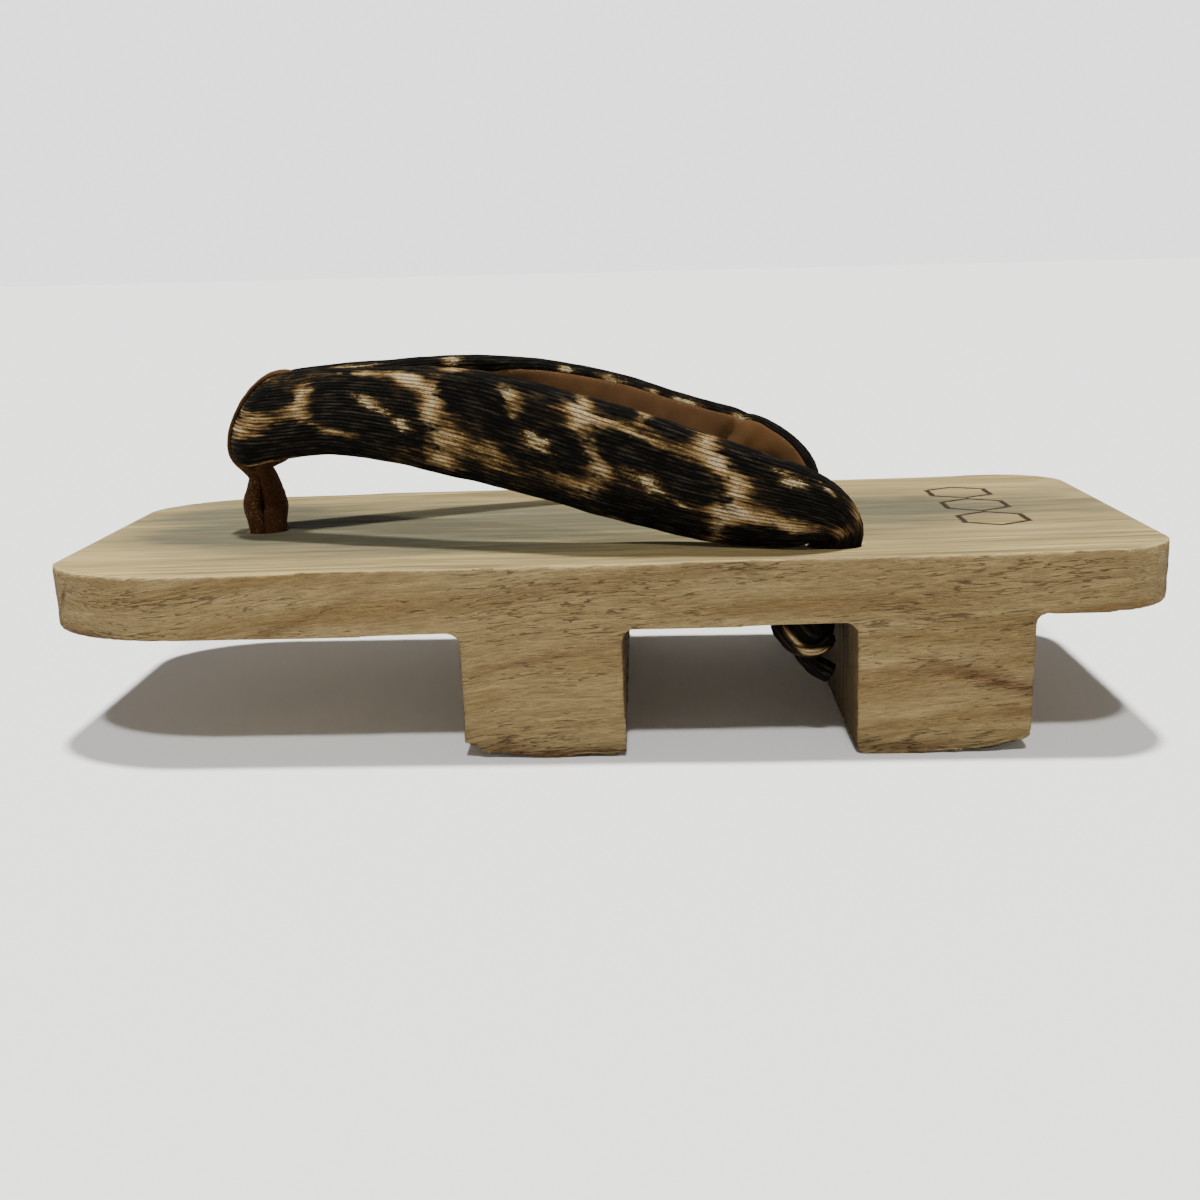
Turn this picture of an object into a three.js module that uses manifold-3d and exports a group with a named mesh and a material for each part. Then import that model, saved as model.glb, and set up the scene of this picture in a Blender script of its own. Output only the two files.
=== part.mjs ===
// Geta: a Japanese wooden sandal. One block of paulownia is cut into a deck with two teeth, and a padded
// cloth strap is held by a toe thong in front and by its own knotted ends in front of the rear tooth.
// The part's frame is in millimetres: +Z up, floor at Z 0, toe towards -X, heel towards +X, origin under
// the middle of the deck. Both sides are alike, so either foot wears it.

import * as THREE from "three";
import { mergeVertices } from "three/addons/utils/BufferGeometryUtils.js";
import Module from "manifold-3d";

const wasm = await Module();
wasm.setup();

// The wooden block
const deckLength = 245;
const deckWidth = 101;
const deckThickness = 14.4;
const heelThinning = 1.0; // the underside behind the rear tooth is cut this much higher
const toeCornerLength = 34; // the toe's corners are quarter ellipses
const toeCornerWidth = 22;
const heelCornerRadius = 16;
const frontToothStart = 93.0; // from the toe's tip
const frontToothLength = 34.8;
const frontToothHeight = 28.0; // under the deck, at the middle of the tooth
const rearToothStart = 176.8;
const rearToothLength = 37.1;
const rearToothHeight = 29.0;
const topEdgeRadius = 1.6;
const deckEndRadius = 4.0; // under the toe and the heel
const toothRootRadius = 2.2; // where a tooth leaves the deck
const toothEdgeRadius = 1.2; // a tooth's lower edges
const wornEdgeRadius = 3.2; // the front tooth's worn front edge

// The holes
const toeHoleFromTip = 40.9;
const toeHoleDiameter = 8.8;
const rearHoleFromTip = 174.3; // at the deck's top
const rearHoleSpacing = 73;
const rearHoleDiameter = 10.4;
const rearHoleSlant = 30; // degrees from upright, so that it comes out in front of the rear tooth
const drillLength = 3 * deckThickness; // longer than any hole
const drillSides = 28;
const clearance = 0.3; // between any two pieces
const weldReach = 0.004; // corners of one piece that are closer than this are one corner

// The strap: a padded tube of cloth, wide and flat, that stands on edge
const strapWidth = 27;
const strapThickness = 9;
const strapRise = 29.5; // height of its centre line over the deck, at the crest
const strapSpread = 41; // from the middle to its centre line, at the widest
const strapSquareness = 2.4; // of its section: 2 is an ellipse, and more is squarer
const roundSquareness = 2; // at the toe bend and in the holes
const bendReach = 0.03; // share of the way to the rear hole up to which the strap is still bending
const mouthBend = 14; // degrees that it has yet to turn where it goes into the hole
const mouthTwist = -12;
const clothDepths = [0.5, 1.3]; // shares of the deck's thickness at which it is in the hole, and under it

// The toe thong: a velvet tube, doubled, that loops over the strap's middle
const thongWidth = 7.4;
const thongStrand = 5.3;
const thongLoopThickness = 1.8;
const thongBite = 1.0; // how deep the loop presses into the padding
const thongSquareness = 2.3;
const thongLeadForward = 0.3; // its strands lie this much in front of the hole's axis
const thongNeckHeight = 13.2; // where the two strands part round the strap
const thongNeckWidth = 7.5;
const thongBellyWidth = 10.4; // at a share of the neck's height
const thongBellyHeight = 0.48;
const thongNeckFullness = 0.7; // 1 is round, and 0 is as flat as the loop
const thongTurnsFront = [10, 38, 66, 96, 124, 152]; // degrees round the strap from its lowest point
const thongTurnsRear = [42, 72, 100, 128, 154];

// The knots under the deck
const rearKnotWidth = 14;
const rearKnotHeight = 11.5;
const rearKnotTailLength = 8;
const rearKnotTailWidth = 7;
const rearKnotBehind = 1.3; // its middle lies this much behind the hole's lower end
const toeKnotWidth = 16;
const toeKnotHeight = 8;
const knotBody = { length: 0.86, breadth: 0.8, height: 1.3, lift: 0.15 }; // shares of its width and height
const knotTurn = { radius: 0.3, thickness: 0.26, tilt: 68, heading: 35 }; // shares, then degrees
const tailSpread = [0.62, 0.67, 0.715, 0.76, 0.81, 0.86, 0.905, 0.95, 1]; // it widens towards its cut end
const tailFlatness = 0.625;
const tailSquareness = 3;

const deg = THREE.MathUtils.degToRad;
const toeTip = -deckLength / 2;
const heelTip = deckLength / 2;
const toeHoleX = toeTip + toeHoleFromTip;
const rearHoleX = toeTip + rearHoleFromTip;
const rearHoleY = rearHoleSpacing / 2;

// The deck's top is the plane Z 0 while the pieces are made. The rear tooth is the taller one, so the floor
// is a slightly sloping line below it, and the whole sandal is turned at the end until it stands on it.
const frontTooth = { from: toeTip + frontToothStart, to: toeTip + frontToothStart + frontToothLength };
const rearTooth = { from: toeTip + rearToothStart, to: toeTip + rearToothStart + rearToothLength };
const middleOf = (tooth) => (tooth.from + tooth.to) / 2;
const floorSlope = (rearToothHeight - frontToothHeight) / (middleOf(rearTooth) - middleOf(frontTooth));
const floorAt = (x) => -deckThickness - frontToothHeight - floorSlope * (x - middleOf(frontTooth));

// A three.js geometry as a manifold solid, and back.
function solidFrom(geometry) {
  const bare = geometry.index ? geometry.toNonIndexed() : geometry.clone();
  for (const name of Object.keys(bare.attributes)) {
    if (name !== "position") bare.deleteAttribute(name);
  }
  const merged = mergeVertices(bare, 1e-4);
  const mesh = new wasm.Mesh({
    numProp: 3,
    vertProperties: new Float32Array(merged.attributes.position.array),
    triVerts: new Uint32Array(merged.index.array),
  });
  return new wasm.Manifold(mesh);
}

function geometryFrom(solid) {
  const mesh = solid.getMesh();
  const positions = new Float32Array(mesh.numVert * 3);
  for (let v = 0; v < mesh.numVert; v++) {
    positions.set(mesh.vertProperties.subarray(v * mesh.numProp, v * mesh.numProp + 3), v * 3);
  }
  const geometry = new THREE.BufferGeometry();
  geometry.setAttribute("position", new THREE.BufferAttribute(positions, 3));
  geometry.setIndex(new THREE.BufferAttribute(new Uint32Array(mesh.triVerts), 1));
  geometry.computeVertexNormals();
  return geometry;
}

// A cut leaves some corners almost on top of each other: they become one, and faces with no area go.
function withoutSlivers(geometry) {
  const merged = mergeVertices(geometry, weldReach);
  const index = merged.index.array;
  const kept = [];
  for (let i = 0; i < index.length; i += 3) {
    const [a, b, c] = index.subarray(i, i + 3);
    if (a !== b && b !== c && c !== a) kept.push(a, b, c);
  }
  merged.setIndex(kept);
  merged.computeVertexNormals();
  return merged;
}

// A closed outline with each corner rounded by its own radius. Corners are { x, y, r }, in order.
function roundedOutline(corners) {
  const shape = new THREE.Shape();
  corners.forEach((corner, i) => {
    const before = corners[(i + corners.length - 1) % corners.length];
    const after = corners[(i + 1) % corners.length];
    const here = new THREE.Vector2(corner.x, corner.y);
    const towards = (other) => new THREE.Vector2(other.x, other.y).sub(here).normalize();
    const start = here.clone().addScaledVector(towards(before), corner.r);
    const end = here.clone().addScaledVector(towards(after), corner.r);
    if (i === 0) shape.moveTo(start.x, start.y);
    else shape.lineTo(start.x, start.y);
    if (corner.r > 0) shape.quadraticCurveTo(here.x, here.y, end.x, end.y);
  });
  shape.closePath();
  return shape;
}

// A solid lofted through rings of points, closed by a fan at each end. Each ring turns the same way about
// the direction of travel, anticlockwise as seen from behind.
function loft(rings) {
  const count = rings[0].length;
  const positions = [];
  const index = [];
  for (const ring of rings) for (const p of ring) positions.push(p.x, p.y, p.z);
  for (let r = 0; r + 1 < rings.length; r++) {
    for (let k = 0; k < count; k++) {
      const a = r * count + k;
      const b = r * count + ((k + 1) % count);
      index.push(a, a + count, b, b, a + count, b + count);
    }
  }
  const addCap = (ring, first, outwards) => {
    const middle = ring.reduce((sum, p) => sum.add(p), new THREE.Vector3()).divideScalar(count);
    const centre = positions.length / 3;
    positions.push(middle.x, middle.y, middle.z);
    for (let k = 0; k < count; k++) {
      const a = first + k;
      const b = first + ((k + 1) % count);
      if (outwards) index.push(centre, b, a);
      else index.push(centre, a, b);
    }
  };
  addCap(rings[0], 0, false);
  addCap(rings[rings.length - 1], (rings.length - 1) * count, true);
  const geometry = new THREE.BufferGeometry();
  geometry.setAttribute("position", new THREE.BufferAttribute(new Float32Array(positions), 3));
  geometry.setIndex(index);
  return geometry;
}

// One ring: a rounded oblong about a centre, across two directions at right angles to the travel.
function ring(centre, wide, thin, halfWidth, halfThickness, squareness, count) {
  const squared = (v) => Math.sign(v) * Math.abs(v) ** (2 / squareness);
  return Array.from({ length: count }, (_, k) => {
    const turn = (2 * Math.PI * k) / count;
    return centre
      .clone()
      .addScaledVector(wide, halfWidth * squared(Math.cos(turn)))
      .addScaledVector(thin, halfThickness * squared(Math.sin(turn)));
  });
}

// Rows of numbers read as smooth curves: a row at position t, from 0 for the first to 1 for the last.
function smoothTable(rows) {
  const names = Object.keys(rows[0]);
  const groups = [];
  for (let i = 0; i < names.length; i += 3) groups.push(names.slice(i, i + 3));
  const curves = groups.map((group) => {
    const points = rows.map((row) => new THREE.Vector3(...[0, 1, 2].map((k) => row[group[k]] ?? 0)));
    return new THREE.CatmullRomCurve3(points, false, "catmullrom", 0.5);
  });
  return (t) => {
    const row = {};
    groups.forEach((group, g) => {
      const p = curves[g].getPoint(t).toArray();
      group.forEach((name, k) => (row[name] = p[k]));
    });
    return row;
  };
}

// The wooden block: the side view pushed across, and the plan pushed down, with what both hold kept.
function woodenBlock() {
  const underside = -deckThickness;
  const heelUnderside = underside + heelThinning;
  const side = roundedOutline([
    { x: toeTip, y: 0, r: topEdgeRadius },
    { x: toeTip, y: underside, r: deckEndRadius },
    { x: frontTooth.from, y: underside, r: toothRootRadius },
    { x: frontTooth.from, y: floorAt(frontTooth.from), r: wornEdgeRadius },
    { x: frontTooth.to, y: floorAt(frontTooth.to), r: toothEdgeRadius },
    { x: frontTooth.to, y: underside, r: toothRootRadius },
    { x: rearTooth.from, y: underside, r: toothRootRadius },
    { x: rearTooth.from, y: floorAt(rearTooth.from), r: toothEdgeRadius },
    { x: rearTooth.to, y: floorAt(rearTooth.to), r: toothEdgeRadius },
    { x: rearTooth.to, y: heelUnderside, r: toothRootRadius },
    { x: heelTip, y: heelUnderside, r: deckEndRadius },
    { x: heelTip, y: 0, r: topEdgeRadius },
  ]);
  const across = { depth: deckWidth, bevelEnabled: false, curveSegments: 5 };
  const sideView = new THREE.ExtrudeGeometry(side, across);
  sideView.rotateX(Math.PI / 2).translate(0, deckWidth / 2, 0);

  const half = deckWidth / 2;
  const plan = new THREE.Shape();
  const toeCornerX = toeTip + toeCornerLength;
  const toeCornerY = half - toeCornerWidth;
  const heelCornerX = heelTip - heelCornerRadius;
  const heelCornerY = half - heelCornerRadius;
  plan.moveTo(toeCornerX, -half);
  plan.lineTo(heelCornerX, -half);
  plan.absarc(heelCornerX, -heelCornerY, heelCornerRadius, -Math.PI / 2, 0, false);
  plan.absarc(heelCornerX, heelCornerY, heelCornerRadius, 0, Math.PI / 2, false);
  plan.absellipse(toeCornerX, toeCornerY, toeCornerLength, toeCornerWidth, Math.PI / 2, Math.PI, false, 0);
  plan.absellipse(toeCornerX, -toeCornerY, toeCornerLength, toeCornerWidth, Math.PI, 1.5 * Math.PI, false, 0);
  const tall = 4 * (deckThickness + rearToothHeight);
  const planView = new THREE.ExtrudeGeometry(plan, { depth: tall, bevelEnabled: false, curveSegments: 10 });
  planView.translate(0, 0, -tall / 2);

  let block = solidFrom(sideView).intersect(solidFrom(planView));
  for (const bore of bores(0)) block = block.subtract(bore);
  return geometryFrom(block);
}

// The three strap holes as solids, wider than the holes all round by grow.
function bores(grow) {
  const bore = (diameter) => {
    const radius = diameter / 2 + grow;
    return new THREE.CylinderGeometry(radius, radius, drillLength, drillSides).rotateX(Math.PI / 2);
  };
  const middle = rearHoleAxis(deckThickness / 2);
  return [
    bore(toeHoleDiameter).translate(toeHoleX, 0, -deckThickness / 2),
    bore(rearHoleDiameter).rotateY(deg(rearHoleSlant)).translate(middle.x, -rearHoleY, middle.z),
    bore(rearHoleDiameter).rotateY(deg(rearHoleSlant)).translate(middle.x, rearHoleY, middle.z),
  ].map(solidFrom);
}

// A point on a rear hole's axis, at a depth under the deck's top, as { x, z }.
function rearHoleAxis(depth) {
  return { x: rearHoleX - depth * Math.tan(deg(rearHoleSlant)), z: -depth };
}

// A slab as wide and long as is needed, between two heights over the deck.
function slab(bottom, top) {
  const box = new THREE.BoxGeometry(2 * deckLength, 2 * deckWidth, top - bottom);
  return solidFrom(box.translate(0, 0, (top + bottom) / 2));
}

// What is left to a cloth piece that stands on the deck and goes down a hole: it is pressed flat on the
// deck's top, gathered to the size of the hole, and ends level with the underside.
function fittedToDeck(cloth) {
  const farBelow = -2 * drillLength;
  const underside = slab(farBelow, -deckThickness);
  let wood = slab(farBelow, clearance);
  for (const bore of bores(-clearance)) wood = wood.subtract(bore.subtract(underside));
  return cloth.subtract(wood);
}

// The strap's sections, from the middle of the toe bend back to the rear hole.
// along: share of the way from the toe hole to the rear hole. out: share of strapSpread.
// rise: share of strapRise. heading: degrees from straight back, turning outwards. pitch: degrees up.
// lean: degrees that its top leans inwards. width and thickness: shares of the strap's own.
const strapTable = [
  { along: 0.013, out: 0.0, rise: 0.916, heading: 90, pitch: 0, lean: 34, width: 0.92, thickness: 1.38 },
  { along: 0.016, out: 0.08, rise: 0.92, heading: 74, pitch: 5, lean: 32, width: 0.89, thickness: 1.3 },
  { along: 0.025, out: 0.132, rise: 0.93, heading: 46, pitch: 8, lean: 27, width: 0.83, thickness: 1.14 },
  { along: 0.056, out: 0.165, rise: 0.96, heading: 27, pitch: 8, lean: 23, width: 0.775, thickness: 0.98 },
  { along: 0.169, out: 0.31, rise: 1.0, heading: 23, pitch: 1, lean: 23, width: 0.745, thickness: 0.98 },
  { along: 0.281, out: 0.456, rise: 0.976, heading: 21, pitch: -4, lean: 15, width: 0.8, thickness: 1.0 },
  { along: 0.394, out: 0.59, rise: 0.915, heading: 20, pitch: -8, lean: 3, width: 0.88, thickness: 1.0 },
  { along: 0.506, out: 0.717, rise: 0.807, heading: 18, pitch: -13, lean: -11, width: 0.95, thickness: 1.0 },
  { along: 0.618, out: 0.83, rise: 0.668, heading: 13, pitch: -17, lean: -20, width: 1.0, thickness: 1.0 },
  { along: 0.731, out: 0.868, rise: 0.508, heading: 8, pitch: -16, lean: -24, width: 0.985, thickness: 1.0 },
  { along: 0.843, out: 0.951, rise: 0.38, heading: 9, pitch: -12, lean: -22, width: 0.874, thickness: 1.0 },
  { along: 0.903, out: 0.99, rise: 0.325, heading: 5, pitch: -14, lean: -20, width: 0.76, thickness: 1.0 },
  { along: 0.945, out: 0.99, rise: 0.265, heading: -8, pitch: -28, lean: -14, width: 0.64, thickness: 1.0 },
  { along: 0.978, out: 0.96, rise: 0.19, heading: -18, pitch: -50, lean: -6, width: 0.52, thickness: 1.0 },
  { along: 0.997, out: 0.925, rise: 0.09, heading: -18, pitch: -80, lean: 0, width: 0.43, thickness: 1.05 },
];

// The middle and the frame of each section, on the side where the strap's outward direction is +Y.
function strapRows() {
  const holeSpan = rearHoleX - toeHoleX;
  const rows = strapTable.map((share) => {
    return {
      x: toeHoleX + share.along * holeSpan,
      y: share.out * strapSpread,
      z: share.rise * strapRise,
      heading: share.heading,
      pitch: share.pitch,
      lean: share.lean,
      halfWidth: (share.width * strapWidth) / 2,
      halfThickness: (share.thickness * strapThickness) / 2,
      squareness: share.along < bendReach ? roundSquareness : strapSquareness,
    };
  });
  const neckAt = (depth) => ({
    ...rearHoleAxis(depth),
    y: rearHoleY,
    heading: 0,
    pitch: -90 - rearHoleSlant,
    lean: 0,
    halfWidth: rearHoleDiameter / 2,
    halfThickness: rearHoleDiameter / 2,
    squareness: roundSquareness,
  });
  const mouth = neckAt(0.1 * deckThickness);
  rows.push({ ...mouth, pitch: mouth.pitch + mouthBend, heading: mouthTwist });
  for (const depth of clothDepths) rows.push(neckAt(depth * deckThickness));
  return rows.map(({ x, y, z, heading, pitch, lean, halfWidth, halfThickness, squareness }) => {
    return { x, y, z, heading, pitch, lean, halfWidth, halfThickness, squareness };
  });
}

// The directions of a section: where the strap travels, its wide way and its face's way outwards.
function strapFrame({ heading, pitch, lean }) {
  const [h, p, l] = [heading, pitch, lean].map(deg);
  const travel = new THREE.Vector3(Math.cos(h) * Math.cos(p), Math.sin(h) * Math.cos(p), Math.sin(p));
  const outwards = new THREE.Vector3(-Math.sin(h), Math.cos(h), 0);
  const upright = travel.clone().cross(outwards);
  const wide = upright.clone().multiplyScalar(Math.cos(l)).addScaledVector(outwards, -Math.sin(l));
  const face = outwards.clone().multiplyScalar(Math.cos(l)).addScaledVector(upright, Math.sin(l));
  return { travel, wide, face };
}

// The strap as one tube from hole to hole. Its halves are alike, and where their padding would meet behind
// the bend they press on each other, with a hairline between.
function strapTube() {
  const sectionAt = smoothTable(strapRows());
  const sectionCount = 44;
  const cornerCount = 22;
  const half = Array.from({ length: sectionCount + 1 }, (_, s) => {
    const row = sectionAt(s / sectionCount);
    const { wide, face } = strapFrame(row);
    const centre = new THREE.Vector3(row.x, row.y, row.z);
    const section = ring(centre, wide, face, row.halfWidth, row.halfThickness, row.squareness, cornerCount);
    const nearestMiddle = s === 0 ? 0 : clearance / 2;
    return section.map((p) => p.setY(Math.max(p.y, nearestMiddle)));
  });
  const otherHalf = half.slice(1).map((section) => section.map((p) => new THREE.Vector3(p.x, -p.y, p.z)));
  return solidFrom(loft([...otherHalf.reverse(), ...half]));
}

// The thong's rows, from under the deck up in front of the bend, over it, and down again behind it.
// x and z are the strand's middle. full is 1 where it is round and 0 where it is pressed flat on the strap.
// paired is true where the two strands lie side by side under the bend.
function thongRows() {
  const middleX = toeHoleX - thongLeadForward;
  const bend = strapRows()[0];
  const { wide, face } = strapFrame(bend);
  const offset = thongLoopThickness / 2 - thongBite;
  // The loop's middle round the bend's section, at a turn in degrees from its lowest point to its highest.
  const round = (turn, side) => {
    const across = -Math.cos(deg(turn)) * (bend.halfWidth + offset);
    const out = -side * Math.sin(deg(turn)) * (bend.halfThickness + offset);
    return new THREE.Vector3(bend.x, 0, bend.z).addScaledVector(wide, across).addScaledVector(face, out);
  };
  // side is -1 for the front strand and 1 for the rear one, and turns are the loop's rows.
  const strand = (side, turns) => {
    const strandMiddle = (width) => middleX + (side * (width - thongStrand)) / 2;
    const stem = [
      { x: strandMiddle(toeHoleDiameter), z: -clothDepths[1] * deckThickness, full: 1 },
      { x: strandMiddle(toeHoleDiameter), z: 0, full: 1 },
      { x: strandMiddle(thongBellyWidth), z: thongBellyHeight * thongNeckHeight, full: 1 },
      { x: strandMiddle(thongNeckWidth), z: thongNeckHeight, full: thongNeckFullness },
    ].map((row) => ({ ...row, side, paired: true }));
    const loop = turns.map((turn) => {
      const { x, z } = round(turn, side);
      return { x, z, full: 0, side, paired: false };
    });
    return [...stem, ...loop];
  };
  const crown = round(180, 0);
  const front = strand(-1, thongTurnsFront);
  const rear = strand(1, thongTurnsRear);
  return [...front, { x: crown.x, z: crown.z, full: 0, side: 0, paired: false }, ...rear.reverse()];
}

// The thong as one tube, wider all round by grow. Its strands press on each other in the stem.
function thong(grow) {
  const rows = thongRows();
  const points = rows.map((row) => new THREE.Vector3(row.x, 0, row.z));
  const path = new THREE.CatmullRomCurve3(points, false, "centripetal");
  const across = new THREE.Vector3(0, 1, 0);
  const stepCount = 4 * (rows.length - 1);
  const cornerCount = 14;
  const sections = Array.from({ length: stepCount + 1 }, (_, s) => {
    const t = s / stepCount;
    const place = t * (rows.length - 1);
    const row = rows[Math.min(Math.floor(place), rows.length - 2)];
    const next = rows[Math.min(Math.floor(place) + 1, rows.length - 1)];
    const full = THREE.MathUtils.lerp(row.full, next.full, place - Math.floor(place));
    const halfThickness = THREE.MathUtils.lerp(thongLoopThickness, thongStrand, full) / 2 + grow;
    const thin = path.getTangent(t).cross(across);
    const halfWidth = thongWidth / 2 + grow;
    const centre = path.getPoint(t);
    const section = ring(centre, thin, across, halfThickness, halfWidth, thongSquareness, cornerCount);
    if (!(row.paired && next.paired)) return section;
    const limit = toeHoleX - thongLeadForward + (row.side * clearance) / 2;
    return section.map((p) => p.setX(row.side < 0 ? Math.min(p.x, limit) : Math.max(p.x, limit)));
  });
  return solidFrom(loft(sections));
}

// A knot: a round body with a turn of cloth round it, flat on the deck's underside, and its tail if any.
function knot(width, height, tail) {
  const body = new THREE.SphereGeometry(0.5, 20, 14);
  body.scale(width * knotBody.length, width * knotBody.breadth, height * knotBody.height);
  body.translate(0, 0, height * knotBody.lift);
  const turn = new THREE.TorusGeometry(width * knotTurn.radius, height * knotTurn.thickness, 10, 24);
  turn.rotateX(deg(knotTurn.tilt)).rotateZ(deg(knotTurn.heading));
  const above = new THREE.BoxGeometry(3 * width, 3 * width, 2 * height).translate(0, 0, 1.5 * height);
  let solid = solidFrom(body).add(solidFrom(turn)).subtract(solidFrom(above));
  if (tail) {
    const path = new THREE.QuadraticBezierCurve3(
      new THREE.Vector3(0, 0, -height * 0.1),
      new THREE.Vector3(tail.length * 0.1, 0, -height * 0.5),
      new THREE.Vector3(tail.length * 0.5, 0, -height * 0.4 - tail.length * 0.7),
    );
    const across = new THREE.Vector3(0, 1, 0);
    const rings = tailSpread.map((share, s) => {
      const t = s / (tailSpread.length - 1);
      const halfWidth = (share * tail.width) / 2;
      const thin = path.getTangent(t).cross(across);
      const halfThickness = halfWidth * tailFlatness;
      return ring(path.getPoint(t), thin, across, halfThickness, halfWidth, tailSquareness, 14);
    });
    solid = solid.add(solidFrom(loft(rings)));
  }
  return withoutSlivers(geometryFrom(solid));
}

// The materials
const paulownia = new THREE.MeshStandardMaterial({ color: 0xb9a378, roughness: 0.78, metalness: 0 });
const printedCorduroy = new THREE.MeshStandardMaterial({ color: 0x2c2118, roughness: 0.92, metalness: 0 });
const brownVelvet = new THREE.MeshStandardMaterial({ color: 0x6b4220, roughness: 0.95, metalness: 0 });

// The assembly
const sandal = new THREE.Group();
const deckFrame = new THREE.Group();
deckFrame.rotation.y = -Math.atan(floorSlope);
deckFrame.position.z = -floorAt(0) * Math.cos(Math.atan(floorSlope));
sandal.add(deckFrame);

function place(name, geometry, material, position = [0, 0, 0]) {
  const mesh = new THREE.Mesh(geometry, material);
  mesh.name = name;
  mesh.position.set(...position);
  deckFrame.add(mesh);
  return mesh;
}

place("wooden_block", woodenBlock(), paulownia);
const pinchedStrap = fittedToDeck(strapTube().subtract(thong(clearance)));
place("strap_upper", withoutSlivers(geometryFrom(pinchedStrap)), printedCorduroy);
place("toe_thong", withoutSlivers(geometryFrom(fittedToDeck(thong(0)))), brownVelvet);

const knotTop = -deckThickness - clearance;
const exit = rearHoleAxis(deckThickness);
for (const [name, side] of [["rear_knot_near", -1], ["rear_knot_far", 1]]) {
  const tail = { length: rearKnotTailLength, width: rearKnotTailWidth };
  const geometry = knot(rearKnotWidth, rearKnotHeight, tail);
  const middle = [exit.x + rearKnotBehind, side * rearHoleY, knotTop - rearKnotHeight / 2];
  place(name, geometry, printedCorduroy, middle);
}
const toeKnot = knot(toeKnotWidth, toeKnotHeight);
place("toe_knot", toeKnot, brownVelvet, [toeHoleX, 0, knotTop - toeKnotHeight / 2]);

export default sandal;
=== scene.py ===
"""Looks of a geta: a sandal cut from one block of paulownia, with a padded strap of printed corduroy."""

import math
from functools import partial

import bmesh
import bpy
import numpy as np
from mathutils import Matrix, Vector, noise


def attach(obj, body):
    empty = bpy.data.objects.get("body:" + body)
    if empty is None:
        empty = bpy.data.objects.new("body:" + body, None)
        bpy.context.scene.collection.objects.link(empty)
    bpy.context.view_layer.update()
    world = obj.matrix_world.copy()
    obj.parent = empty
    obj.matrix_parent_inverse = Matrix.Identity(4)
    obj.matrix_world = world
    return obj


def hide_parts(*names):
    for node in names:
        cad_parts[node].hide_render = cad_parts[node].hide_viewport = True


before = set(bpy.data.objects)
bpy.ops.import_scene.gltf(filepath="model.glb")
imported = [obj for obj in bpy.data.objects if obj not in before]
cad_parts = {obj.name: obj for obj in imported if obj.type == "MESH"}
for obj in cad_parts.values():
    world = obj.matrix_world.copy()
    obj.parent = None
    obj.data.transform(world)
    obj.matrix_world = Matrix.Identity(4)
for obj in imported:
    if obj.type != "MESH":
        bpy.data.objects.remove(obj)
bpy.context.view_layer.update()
mm = 0.001


# Sizes in millimetres, in the deck's own frame: X from toe to heel, Z up from the deck's flat top

DECK_WIDTH = 101.0
DECK_THICKNESS = 14.4
FRONT_TOOTH_MIDDLE = -12.1
FRONT_TOOTH_HEIGHT = 28.0
REAR_TOOTH_MIDDLE = 72.85
REAR_TOOTH_HEIGHT = 29.0
TOE_HOLE_X = -81.6
TOE_HOLE_RADIUS = 4.4
REAR_HOLE_X = 51.8
REAR_HOLE_Y = 36.5
REAR_HOLE_RADIUS = 5.2
REAR_HOLE_SLANT = 30.0
CLEARANCE = 0.3
BURN_X = 91.0  # three burned hexagons in a row across the heel
BURN_Y = 5.0
BURN_SPACING = 18.0
BURN_RADIUS = 7.2

# The rear tooth is the taller one, so the deck slopes down a little towards the toe.
FLOOR_SLOPE = (REAR_TOOTH_HEIGHT - FRONT_TOOTH_HEIGHT) / (REAR_TOOTH_MIDDLE - FRONT_TOOTH_MIDDLE)
DECK_TILT = math.atan(FLOOR_SLOPE)
DECK_LIFT = (DECK_THICKNESS + FRONT_TOOTH_HEIGHT - FLOOR_SLOPE * FRONT_TOOTH_MIDDLE) * math.cos(DECK_TILT)


def on_floor(points):
    """Points of the deck's own frame, in millimetres, as points of the sandal on its floor, in metres."""
    points = np.asarray(points, float)
    c, s = math.cos(DECK_TILT), math.sin(DECK_TILT)
    x = points[..., 0] * c - points[..., 2] * s
    z = points[..., 0] * s + points[..., 2] * c + DECK_LIFT
    return np.stack([x, points[..., 1], z], -1) * mm


def on_deck(points):
    """The other way: from the floor's frame in metres to the deck's own in millimetres."""
    points = np.asarray(points, float) / mm
    c, s = math.cos(DECK_TILT), math.sin(DECK_TILT)
    z = points[..., 2] - DECK_LIFT
    return np.stack([points[..., 0] * c + z * s, points[..., 1], z * c - points[..., 0] * s], -1)


# The camera, at the photograph's angle

CAMERA_PLACE = (11.2, -328.8, 61.1)
CAMERA_PITCH = -13.87  # degrees down
CAMERA_YAW = 2.15
CAMERA_ROLL = -2.12
FOCAL_SHARE = 1374.2 / 1200  # focal length over the picture's width
SENSOR = 36.0


def make_camera():
    pitch, yaw, roll = (math.radians(a) for a in (CAMERA_PITCH, CAMERA_YAW, CAMERA_ROLL))
    ahead = Vector((-math.sin(yaw) * math.cos(pitch), math.cos(yaw) * math.cos(pitch), math.sin(pitch)))
    level = Vector((math.cos(yaw), math.sin(yaw), 0))
    upright = level.cross(ahead)
    right = level * math.cos(roll) + upright * math.sin(roll)
    up = upright * math.cos(roll) - level * math.sin(roll)
    turn = Matrix.Rotation(-DECK_TILT, 3, "Y")
    axes = Matrix((turn @ right, turn @ up, turn @ -ahead)).transposed()
    data = bpy.data.cameras.new("camera")
    data.lens = FOCAL_SHARE * SENSOR
    data.sensor_width = SENSOR
    data.clip_start = 0.01
    camera = bpy.data.objects.new("camera", data)
    camera.matrix_world = Matrix.Translation(Vector(on_floor(CAMERA_PLACE))) @ axes.to_4x4()
    bpy.context.scene.collection.objects.link(camera)
    bpy.context.scene.camera = camera


# Materials

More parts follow.
